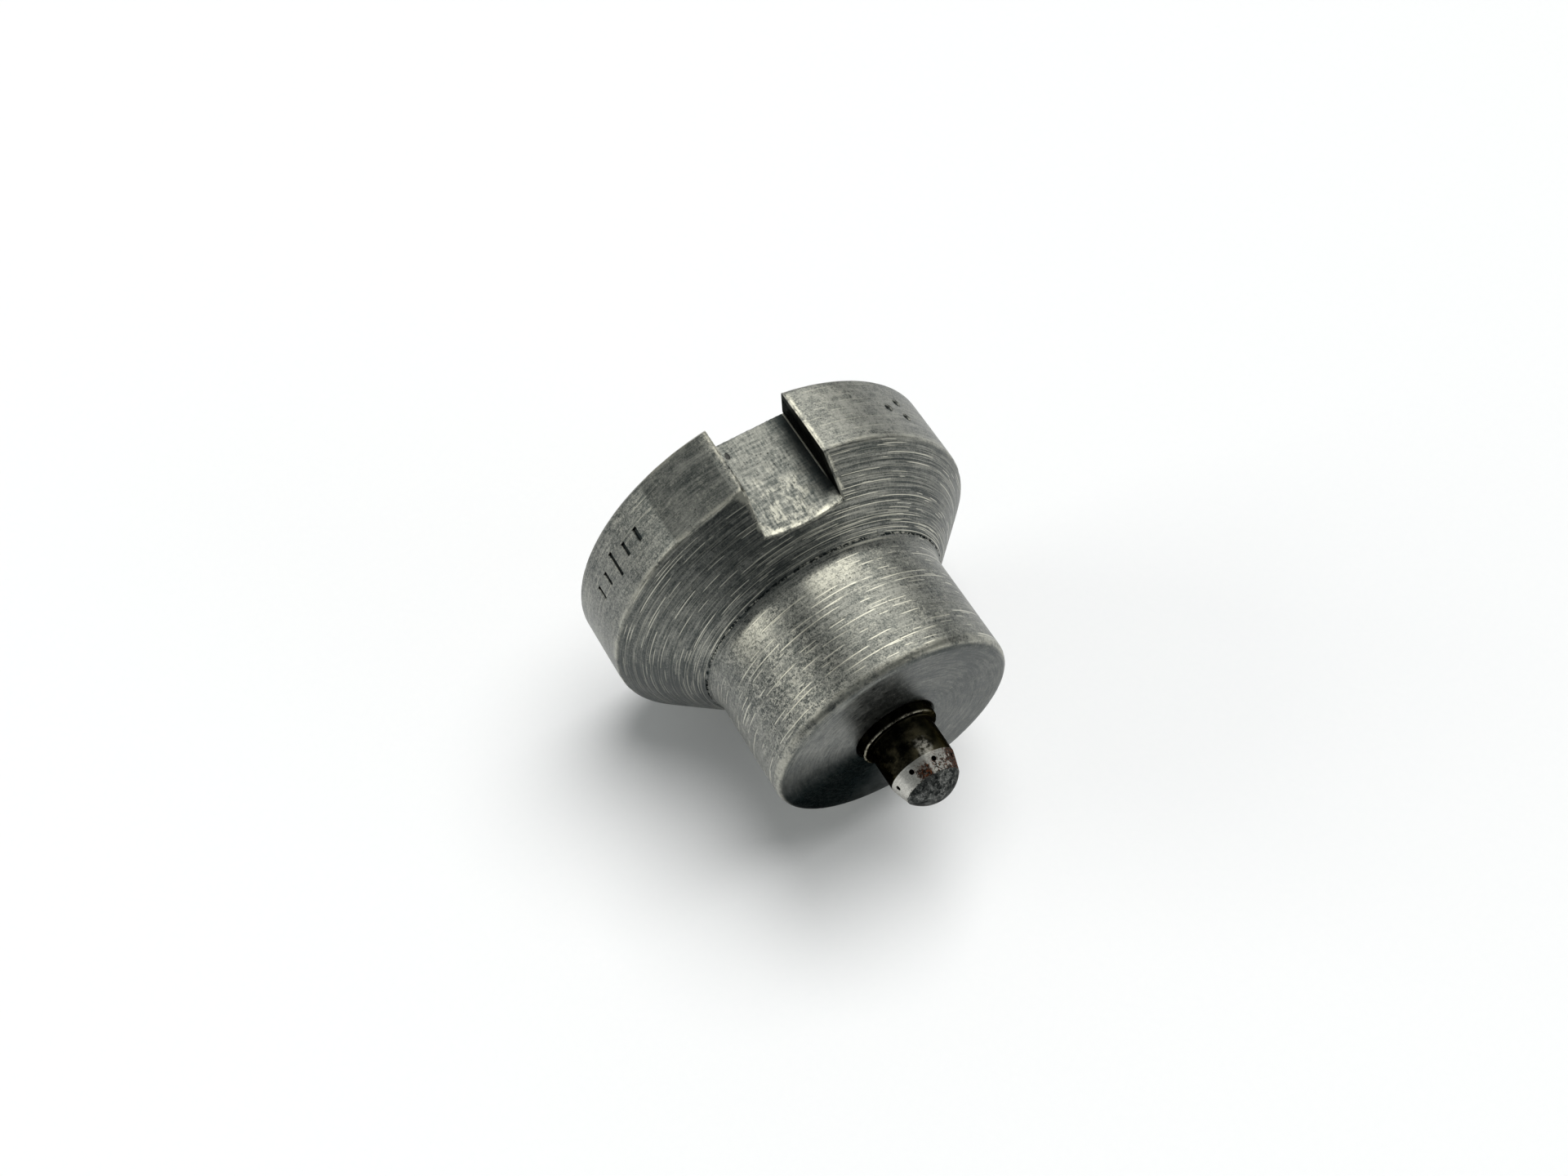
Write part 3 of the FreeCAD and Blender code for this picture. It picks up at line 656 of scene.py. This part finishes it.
def tip_material():
    """Hardened steel, oil-blackened, with a bright ground band, rust by the spray holes, a dull dome, painted
    highlights and painted shade in the holes.
    """
    steel = TipSteel()
    on_band, on_dome = steel.on_band, steel.on_dome
    ground = (steel.grain * 0.6 + steel.fine * 0.4).step(0.3, 0.7)
    band = steel.mix(ground, (0.37, 0.365, 0.335), (0.66, 0.65, 0.605))
    colour = steel.mix(on_dome, steel.mix(on_band, barrel_colour(steel), band), dome_colour(steel))
    colour, rust = stained_band(steel, colour)
    colour = steel.mix(lip_wear_and_highlight(steel) * 0.9, colour, (0.42, 0.40, 0.32))
    band_slope = (BARREL_R - BAND_END_R) / (BAND_END - BAND_START)
    # Near black on the spray holes' walls: painted shade inside the holes.
    in_hole = BARREL_R / MM - (steel.depth - BAND_START / MM) * band_slope - steel.radius
    colour = steel.mix(on_band * in_hole.step(0.02, 0.06) * 0.97, colour, (0.006, 0.006, 0.006))

    roughness = 0.34 + (steel.grain - 0.5) * 0.25 + on_dome * 0.14 + rust * 0.35 + on_band * 0.06
    height = steel.grain * 0.6 + steel.fine * 0.5 + rust * 1.5
    shine = 0.2 + (on_band * 0.5 + on_dome * 0.3) * (1.0 - rust)
    return steel.finish(colour, roughness, height, 0.008 * MM, glancing=shine)


def machined_material(name, dark, light, roughness, cut, relief, stain):
    """Plain machined metal: tool marks round the axis, fine grain, and a light stain in patches."""
    metal = Surface(name)
    fine = metal.turned(cut, 3.0, 3.0)
    grain = metal.noise(11.0, 3.0, 0.7)
    patch = metal.noise(0.7, 3.0, 0.6, shift=6.0)
    tone = fine * 0.5 + grain * 0.3 + patch * 0.4 - 0.1
    colour = metal.mix(tone.step(0.2, 0.8), dark, light)
    colour = metal.mix(patch.step(0.55, 0.75) * stain, colour, tuple(0.35 * part for part in dark))
    rough = roughness + (grain - 0.5) * 0.2 + (patch - 0.5) * 0.2
    return metal.finish(colour, rough, fine * 0.7 + grain * 0.5, relief * MM)


def wire_material():
    """Cold-drawn spring wire: a dark blued skin, rubbed bright in flecks."""
    wire = Surface("drawn_wire")
    drawn = wire.noise(6.0, 3.0, 0.6)
    fleck = wire.noise(14.0, 3.0, 0.7, shift=2.0)
    colour = wire.mix(drawn.step(0.3, 0.7), (0.17, 0.17, 0.19), (0.40, 0.40, 0.42))
    colour = wire.mix(fleck.step(0.60, 0.72) * 0.7, colour, (0.75, 0.74, 0.72))
    return wire.finish(colour, 0.30 + (drawn - 0.5) * 0.25, drawn, 0.004 * MM)


def rubber_material():
    """Nitrile rubber: satin black with a moulding bloom and fine pores."""
    rubber = Surface("nitrile_rubber")
    bloom = rubber.noise(1.4, 3.0, 0.6)
    pore = rubber.noise(16.0, 3.0, 0.7)
    colour = rubber.mix(bloom.step(0.35, 0.75), (0.012, 0.012, 0.013), (0.045, 0.044, 0.042))
    roughness = 0.50 + (bloom - 0.5) * 0.3 + (pore - 0.5) * 0.15
    return rubber.finish(colour, roughness, pore, 0.006 * MM, metallic=0.0)


def sintered_material():
    """Perforated bronze disc, turned brown by the fuel, and rubbed bright on its raised grain."""
    bronze = Surface("strainer_bronze")
    grain = bronze.noise(9.0, 4.0, 0.7)
    patch = bronze.noise(1.0, 3.0, shift=3.0)
    colour = bronze.mix((grain * 0.6 + patch * 0.4).step(0.35, 0.65), (0.20, 0.12, 0.055), (0.62, 0.44, 0.23))
    return bronze.finish(colour, 0.42 + (patch - 0.5) * 0.3, grain, 0.010 * MM)


# ---------------------------------------------------------------- mesh helpers

def softened(outline, steps=3):
    """An outline's points with its corners rounded: a corner is (depth, radius, reach of the round)."""
    points = []
    count = len(outline)
    for index, corner in enumerate(outline):
        here = Vector(corner[:2])
        reach = corner[2] if len(corner) > 2 else 0.0
        if reach <= 0.0:
            points.append(here)
            continue
        before = Vector(outline[index - 1][:2])
        after = Vector(outline[(index + 1) % count][:2])
        start = here + (before - here).normalized() * min(reach, 0.45 * (before - here).length)
        end = here + (after - here).normalized() * min(reach, 0.45 * (after - here).length)
        for step in range(steps + 1):
            t = step / steps
            points.append(start * (1 - t) ** 2 + here * 2 * t * (1 - t) + end * t ** 2)
    return points


def spaced(points, pitch, closed=True):
    """The outline's points with more added on its long runs, no further apart than pitch."""
    result = []
    last = len(points) if closed else len(points) - 1
    for index in range(last):
        start, end = points[index], points[(index + 1) % len(points)]
        parts = max(1, math.ceil((end - start).length / pitch))
        result += [start.lerp(end, part / parts) for part in range(parts)]
    if not closed:
        result.append(points[-1])
    return result


def axis_point(depth, radius, angle):
    """A point from its depth, its distance from the axis and its angle, in radians."""
    return Vector((radius * math.sin(angle), -depth, radius * math.cos(angle)))


def turn_mesh(name, points, segments, closed=True):
    """A mesh of the outline turned about the nozzle's axis. An open outline starts and ends on the axis."""
    bm = bmesh.new()
    rows = []
    for depth, radius in points:
        if radius < 1e-9:
            rows.append([bm.verts.new(axis_point(depth, 0.0, 0.0))] * segments)
        else:
            turns = [axis_point(depth, radius, 2 * math.pi * i / segments) for i in range(segments)]
            rows.append([bm.verts.new(point) for point in turns])
    pairs = list(zip(rows, rows[1:] + rows[:1])) if closed else list(zip(rows, rows[1:]))
    for first, second in pairs:
        for i in range(segments):
            corners = [first[i], first[(i + 1) % segments], second[(i + 1) % segments], second[i]]
            bm.faces.new(list(dict.fromkeys(corners)))
    return mesh_object(name, bm)


def mesh_object(name, bm):
    bmesh.ops.recalc_face_normals(bm, faces=bm.faces)
    mesh = bpy.data.meshes.new(name)
    bm.to_mesh(mesh)
    bm.free()
    piece = bpy.data.objects.new(name, mesh)
    bpy.context.scene.collection.objects.link(piece)
    return piece


def cut(piece, cutters):
    """Cuts the cutters out of the piece, one after another, and deletes them."""
    for cutter in cutters:
        tool = piece.modifiers.new("cut", "BOOLEAN")
        tool.operation = "DIFFERENCE"
        tool.solver = "MANIFOLD"
        tool.object = cutter
        bpy.context.view_layer.update()
        mesh = bpy.data.meshes.new_from_object(piece.evaluated_get(bpy.context.evaluated_depsgraph_get()))
        piece.modifiers.clear()
        old = piece.data
        piece.data = mesh
        bpy.data.meshes.remove(old)
        bpy.data.objects.remove(cutter)


def smooth(piece, degrees):
    """Smooth shading, except over edges sharper than the angle, with flat faces kept flat."""
    piece.data.shade_smooth()
    piece.data.set_sharp_from_angle(angle=math.radians(degrees))
    weighted = piece.modifiers.new("flat_faces", "WEIGHTED_NORMAL")
    weighted.keep_sharp = True
    weighted.weight = 80


def turn_about_axis(piece, degrees):
    piece.data.transform(Matrix.Rotation(math.radians(degrees), 4, "Y"))
    return piece


def box_cutter(name, low, high):
    bm = bmesh.new()
    bmesh.ops.create_cube(bm, size=1.0)
    low, high = Vector(low), Vector(high)
    for vertex in bm.verts:
        vertex.co = Vector(low[i] + (vertex.co[i] + 0.5) * (high[i] - low[i]) for i in range(3))
    return mesh_object(name, bm)


def rod_cutter(name, radius, start, end, sides=24, flare=0.0):
    """A straight drill from start to end, with its last stretch opened out by the flare."""
    along = (end - start).normalized()
    across = along.orthogonal().normalized()
    other = along.cross(across)
    length = (end - start).length
    bm = bmesh.new()
    rings = []
    for distance, size in ((0.0, radius), (length - 4 * flare, radius), (length, radius + 2 * flare)):
        if rings and distance <= rings[-1][1]:
            continue
        turns = [2 * math.pi * i / sides for i in range(sides)]
        centre = start + along * distance
        points = [centre + (across * math.cos(t) + other * math.sin(t)) * size for t in turns]
        rings.append(([bm.verts.new(point) for point in points], distance))
    for (first, _), (second, _) in zip(rings, rings[1:]):
        for i in range(sides):
            bm.faces.new([first[i], first[(i + 1) % sides], second[(i + 1) % sides], second[i]])
    bm.faces.new(rings[0][0])
    bm.faces.new(rings[-1][0])
    return mesh_object(name, bm)


def chamfer_cutter(name, path, first_ways, second_ways, sizes):
    """Takes the corner off an edge that runs along the path. The ways point from it along the two faces."""
    bm = bmesh.new()
    rows = []
    for point, first, second, size in zip(path, first_ways, second_ways, sizes):
        corners = [point + first * size, point + second * size, point - first * size, point - second * size]
        rows.append([bm.verts.new(corner) for corner in corners])
    for one, other in zip(rows, rows[1:]):
        for i in range(4):
            bm.faces.new([one[i], one[(i + 1) % 4], other[(i + 1) % 4], other[i]])
    bm.faces.new(rows[0])
    bm.faces.new(rows[-1])
    return mesh_object(name, bm)


# ---------------------------------------------------------------- the body

def groove_points(start, end, count, depth, width, seed):
    """Points along a straight run with shallow tool grooves at uneven places."""
    chooser = random.Random(seed)
    along = (end - start).normalized()
    inward = Vector((along.y, -along.x))
    if inward.y > 0:
        inward = -inward
    length = (end - start).length
    points = []
    for index in range(count):
        place = (index + 0.5 + chooser.uniform(-0.3, 0.3)) * length / count
        half = width * chooser.uniform(0.35, 0.6)
        low = depth * chooser.uniform(0.3, 1.0)
        points.append(start + along * (place - half))
        points.append(start + along * place + inward * low)
        points.append(start + along * (place + half))
    return points


def body_outline():
    soft = 0.10 * MM
    cone_turn = math.atan(CONE_SLOPE)
    reach = (NECK_R - SHANK_R) / math.sin(cone_turn)
    thread_end = THREAD_START + THREAD_TURNS * THREAD_PITCH
    outer = softened([
        (BODY_LENGTH - 0.15 * MM, TIP_BORE_R),
        (BODY_LENGTH, TIP_BORE_R + 0.15 * MM, 0.05 * MM),
        (BODY_LENGTH, SHANK_R, END_ROUNDING),
        (NECK_DEPTH + reach * math.cos(cone_turn), SHANK_R, reach),
        (COLLAR_LENGTH, COLLAR_R, 0.16 * MM),
        (REAR_CHAMFER, COLLAR_R, soft),
        (0.0, COLLAR_R - REAR_CHAMFER, soft),
        (0.0, SEAL_GROOVE_R + SEAL_GROOVE_HALF, 0.06 * MM),
        (SEAL_GROOVE_DEPTH, SEAL_GROOVE_R + SEAL_GROOVE_HALF),
        (SEAL_GROOVE_DEPTH, SEAL_GROOVE_R - SEAL_GROOVE_HALF),
        (0.0, SEAL_GROOVE_R - SEAL_GROOVE_HALF, 0.06 * MM),
        (0.0, THREAD_R + 0.35 * MM),
        (0.35 * MM, THREAD_R),
    ], steps=5)
    bore = []
    for turn in range(THREAD_TURNS):
        start = THREAD_START + turn * THREAD_PITCH
        bore.append(Vector((start, THREAD_R)))
        bore.append(Vector((start + 0.25 * THREAD_PITCH, THREAD_R)))
        bore.append(Vector((start + 0.5625 * THREAD_PITCH, THREAD_R - THREAD_DEPTH)))
        bore.append(Vector((start + 0.6875 * THREAD_PITCH, THREAD_R - THREAD_DEPTH)))
    bore.append(Vector((thread_end, THREAD_R)))
    bore.append(Vector((thread_end + THREAD_RUNOUT, THREAD_R)))
    bore.append(Vector((thread_end + THREAD_RUNOUT, STACK_BORE_R)))
    bore.append(Vector((SHOULDER_DEPTH, STACK_BORE_R)))
    bore.append(Vector((SHOULDER_DEPTH, TIP_BORE_R)))
    return with_grooves(outer), bore


def with_grooves(points):
    """Adds tool grooves to the long runs of the shank and of the cone."""
    result = []
    for start, end in zip(points, points[1:]):
        result.append(start)
        on_shank = abs(start.y - SHANK_R) < 1e-7 and abs(end.y - SHANK_R) < 1e-7
        on_cone = start.x > end.x and start.y < COLLAR_R and end.y > NECK_R + 1 * MM
        if on_shank:
            result += groove_points(start, end, 16, 0.010 * MM, 0.16 * MM, 3)
        elif on_cone and (end - start).length > 3 * MM:
            result += groove_points(start, end, 22, 0.016 * MM, 0.15 * MM, 5)
    result.append(points[-1])
    return result


def wear_edges(piece):
    """Knocks the collar's edges about: shallow dents and a slight waviness, round the whole turn."""
    reach = 0.5 * MM
    for vertex in piece.data.vertices:
        depth = -vertex.co.y
        radius = math.hypot(vertex.co.x, vertex.co.z)
        if radius < SHANK_R - END_ROUNDING:
            continue
        edges = (
            math.hypot(depth - COLLAR_LENGTH, radius - COLLAR_R),
            math.hypot(depth, radius - COLLAR_R),
            math.hypot(depth - BODY_LENGTH, radius - SHANK_R) * 0.7,
        )
        share = max(0.0, 1 - min(edges) / reach)
        if share > 0:
            wave = noise.noise(vertex.co / (1.1 * MM))
            dent = max(0.0, noise.noise(vertex.co / (0.45 * MM) + Vector((9, 3, 5))) - 0.25)
            inset = share * (0.012 * MM + 0.02 * MM * max(0.0, wave) + 0.10 * MM * dent)
            vertex.co.x *= 1 - inset / radius
            vertex.co.z *= 1 - inset / radius


def slot_side_cutter(side, chooser):
    """Takes the corner off one long edge of the slot, deeper where the collar meets the cone."""
    corner_r = math.hypot(SLOT_HALF, SLOT_FLOOR_R)
    corner_depth = COLLAR_LENGTH + (COLLAR_R - corner_r) / CONE_SLOPE
    knock = 0.16 if side < 0 else 0.06
    path, away, sizes = [], [], []
    steps = 60
    for step in range(steps + 1):
        depth = -0.3 * MM + (corner_depth + 0.4 * MM) * step / steps
        radius = COLLAR_R - max(0.0, depth - COLLAR_LENGTH) * CONE_SLOPE
        angle = side * math.asin(SLOT_HALF / radius)
        path.append(axis_point(depth, radius, angle))
        away.append(Vector((math.cos(angle), 0, -math.sin(angle))) * side)
        near_corner = math.exp(-((depth - COLLAR_LENGTH) / (0.5 * MM)) ** 2)
        sizes.append((0.11 + 0.03 * chooser.uniform(-1, 1) + knock * near_corner) * MM)
    return chamfer_cutter("slot_side", path, [Vector((0, 0, -1))] * len(path), away, sizes)


def slot_end_cutter(on_cone, chooser):
    """Takes the corner off the edge between the slot's floor and the cone, or the rear face."""
    slope = math.atan(CONE_SLOPE)
    level = Vector((0, 1, 0)) if on_cone else Vector((0, -1, 0))
    face = Vector((0, -math.cos(slope), -math.sin(slope))) if on_cone else Vector((0, 0, -1))
    reach = SLOT_HALF + 0.1 * MM
    path, sizes = [], []
    steps = 40
    for step in range(steps + 1):
        across = -reach + 2 * reach * step / steps
        radius = math.hypot(across, SLOT_FLOOR_R)
        depth = COLLAR_LENGTH + (COLLAR_R - radius) / CONE_SLOPE if on_cone else 0.0
        path.append(Vector((across, -depth, SLOT_FLOOR_R)))
        sizes.append((0.10 + 0.035 * chooser.uniform(-1, 1)) * MM)
    return chamfer_cutter("slot_end", path, [level] * len(path), [face] * len(path), sizes)


def slot_cutters():
    """The key slot and the worn corners along its edges."""
    chooser = random.Random(11)
    low, high = (-SLOT_HALF, -NECK_DEPTH, SLOT_FLOOR_R), (SLOT_HALF, 1 * MM, COLLAR_R + 1 * MM)
    cutters = [box_cutter("slot", low, high)]
    cutters += [slot_side_cutter(side, chooser) for side in (1, -1)]
    cutters += [slot_end_cutter(on_cone, chooser) for on_cone in (True, False)]
    return cutters


def mark_cutters():
    """Plain stamped marks: a graduation of ticks, the middle one longer, and three dots."""
    middle = COLLAR_LENGTH / 2
    cutters = []
    for i in range(TICKS):
        half = (LONG_TICK_LENGTH if i == TICKS // 2 else TICK_LENGTH) / 2
        low = (-TICK_WIDTH / 2, -middle - half, COLLAR_R - MARK_DEPTH)
        tick = box_cutter("tick", low, (TICK_WIDTH / 2, -middle + half, COLLAR_R + MARK_DEPTH))
        for vertex in tick.data.vertices:
            if vertex.co.z > COLLAR_R:
                vertex.co.x *= 2.2
        cutters.append(turn_about_axis(tick, MIDDLE_TICK_ANGLE + (i - TICKS // 2) * TICK_PITCH))
    for angle, shift in DOT_PLACES:
        bm = bmesh.new()
        bmesh.ops.create_uvsphere(bm, u_segments=24, v_segments=14, radius=DOT_BALL_R)
        bmesh.ops.translate(bm, verts=bm.verts, vec=(0, -middle + shift, COLLAR_R + MARK_DEPTH))
        cutters.append(turn_about_axis(mesh_object("dot", bm), angle))
    return cutters


def nozzle_body():
    outer, bore = body_outline()
    points = spaced(outer, 0.42 * MM, closed=False) + bore
    body = turn_mesh("turned_body", points, 288)
    wear_edges(body)
    height = COLLAR_R * math.cos(math.radians(FLAT_HALF_ANGLE))
    low, high = (-COLLAR_R, -COLLAR_LENGTH - 1 * MM, height), (COLLAR_R, 1 * MM, COLLAR_R + 1 * MM)
    flat = turn_about_axis(box_cutter("flat", low, high), FLAT_ANGLE)
    start, end = axis_point(0, VENT_MOUTH_R, math.pi), axis_point(VENT_DEPTH, VENT_END_R, math.pi)
    along = (end - start).normalized()
    vent = rod_cutter("vent", VENT_R, end + along * 0.3 * MM, start - along * 1 * MM)
    cut(body, [flat, *slot_cutters(), *mark_cutters(), vent])
    smooth(body, 28)
    body.data.materials.clear()
    body.data.materials.append(body_material())
    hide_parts("nozzle_body")
    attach(body, "housing")


# ---------------------------------------------------------------- the spray tip

def tip_outline():
    dome_centre = BAND_END - math.sqrt(DOME_R ** 2 - BAND_END_R ** 2)
    first = math.asin(BAND_END_R / DOME_R)
    arc_steps = 22
    points = []
    for step in range(arc_steps + 1):
        angle = first * step / arc_steps
        points.append(Vector((dome_centre + DOME_R * math.cos(angle), DOME_R * math.sin(angle))))
    sac_centre = SAC_DEPTH + 0.6 * MM
    seat_start = SAC_DEPTH - (INNER_R - SAC_R) / math.tan(math.radians(30))
    corners = [
        (BAND_END - 0.001 * MM, BAND_END_R + 0.0003 * MM),
        (BAND_START, BARREL_R, 0.03 * MM),
        (NOSE_END, BARREL_R, 0.08 * MM),
        (NOSE_END, NOSE_R, 0.12 * MM),
        (FLANGE_FRONT, NOSE_R),
        (FLANGE_FRONT, FLANGE_R, 0.08 * MM),
        (FLANGE_REAR, FLANGE_R, 0.08 * MM),
        (FLANGE_REAR, INNER_R, 0.05 * MM),
        (seat_start, INNER_R),
        (SAC_DEPTH, SAC_R),
        (sac_centre, SAC_R),
    ]
    points += spaced(softened(corners, steps=4), 0.16 * MM, closed=False)
    for step in range(1, 7):
        angle = math.pi / 2 * step / 6
        radius = SAC_R * math.cos(angle) if step < 6 else 0.0
        points.append(Vector((sac_centre + SAC_R * math.sin(angle), radius)))
    return points


def spray_hole_cutter(angle):
    """A spray hole from the sac out through the ground band, with its mouth slightly broken."""
    band_r = BARREL_R + (BAND_END_R - BARREL_R) * (HOLE_DEPTH - BAND_START) / (BAND_END - BAND_START)
    slope = 1 / math.tan(math.radians(SPRAY_HALF_ANGLE))
    axis_depth = HOLE_DEPTH - band_r * slope
    turn = math.radians(angle)
    start = axis_point(axis_depth + 0.3 * MM * slope, 0.3 * MM, turn)
    end = axis_point(axis_depth + (band_r + 0.04 * MM) * slope, band_r + 0.04 * MM, turn)
    return rod_cutter("spray_hole", SPRAY_HOLE_R, start, end, sides=28, flare=0.018 * MM)


def spray_tip():
    tip = turn_mesh("blackened_tip", tip_outline(), 144, closed=False)
    for vertex in tip.data.vertices:
        depth, radius = -vertex.co.y, math.hypot(vertex.co.x, vertex.co.z)
        if NOSE_END - 0.25 * MM < depth < NOSE_END + 0.01 * MM and radius > NOSE_R - 0.2 * MM:
            dent = max(0.0, noise.noise(vertex.co / (0.5 * MM)) - 0.05)
            vertex.co.y += 0.07 * MM * dent
        if BARREL_R - 0.05 * MM < radius < BARREL_R + 0.01 * MM and NOSE_END < depth < BAND_START:
            rough = 0.006 * MM * noise.noise(vertex.co / (0.6 * MM))
            vertex.co.x *= 1 + rough / radius
            vertex.co.z *= 1 + rough / radius
    holes = [spray_hole_cutter(FIRST_SPRAY_ANGLE + i * 360 / SPRAY_HOLES) for i in range(SPRAY_HOLES)]
    cut(tip, holes)
    smooth(tip, 26)
    tip.data.materials.clear()
    tip.data.materials.append(tip_material())
    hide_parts("spray_tip")
    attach(tip, "housing")


# ---------------------------------------------------------------- springs

def pressed_springs(wire):
    """Both springs keep their CAD shape: each is welded into one mesh, shaded smooth and fixed to its joint's
    parent.
    """
    for joint in frame["joints"]:
        for pressed in joint["deforming_nodes"]:
            node = pressed["node"]
            bm = bmesh.new()
            bm.from_mesh(frame["nodes"][node].data)
            bmesh.ops.remove_doubles(bm, verts=bm.verts, dist=0.0001 * MM)
            spring = mesh_object(node + "_coil", bm)
            smooth(spring, 40)
            spring.data.materials.append(wire)
            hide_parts(node)
            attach(spring, joint["parent"])
            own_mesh(spring)


# ---------------------------------------------------------------- the pieces that keep their CAD shape

def dress_cad_nodes(wire):
    ground = machined_material(
        "ground_steel", (0.36, 0.37, 0.38), (0.68, 0.69, 0.70),
        roughness=0.26, cut=22.0, relief=0.003, stain=0.15,
    )
    pin = machined_material(
        "pin_steel", (0.34, 0.34, 0.35), (0.60, 0.60, 0.61),
        roughness=0.24, cut=26.0, relief=0.003, stain=0.10,
    )
    plug = machined_material(
        "plug_steel", (0.20, 0.20, 0.195), (0.50, 0.49, 0.47),
        roughness=0.40, cut=9.0, relief=0.008, stain=0.35,
    )
    copper = machined_material(
        "gasket_copper", (0.42, 0.19, 0.10), (0.80, 0.47, 0.32),
        roughness=0.34, cut=8.0, relief=0.006, stain=0.3,
    )
    materials = {
        "hardened_steel": ground,
        "pin_steel": pin,
        "plug_steel": plug,
        "copper": copper,
        "spring_steel": wire,
        "bronze": sintered_material(),
        "seal_rubber": rubber_material(),
    }
    for node in frame["nodes"].values():
        if node.hide_render:
            continue
        for holder in node.material_slots:
            holder.material = materials[holder.material.name]


def set_view_transform():
    bpy.context.scene.view_settings.view_transform = "Standard"
    bpy.context.scene.view_settings.look = "None"


make_camera()
make_world()
make_floor()
key = area_light("key", azimuth=142.0, elevation=50.0, size=1.0, power=6.8)
key.visible_diffuse = False
area_light("side", azimuth=-118.0, elevation=26.0, size=0.5, power=1.6)
area_light("front", azimuth=42.0, elevation=14.0, size=0.5, power=0.85)
overhead_light(azimuth=105.0, elevation=72.0, spread=46.0, strength=2.72)
nozzle_body()
spray_tip()
wire = wire_material()
pressed_springs(wire)
dress_cad_nodes(wire)
set_view_transform()
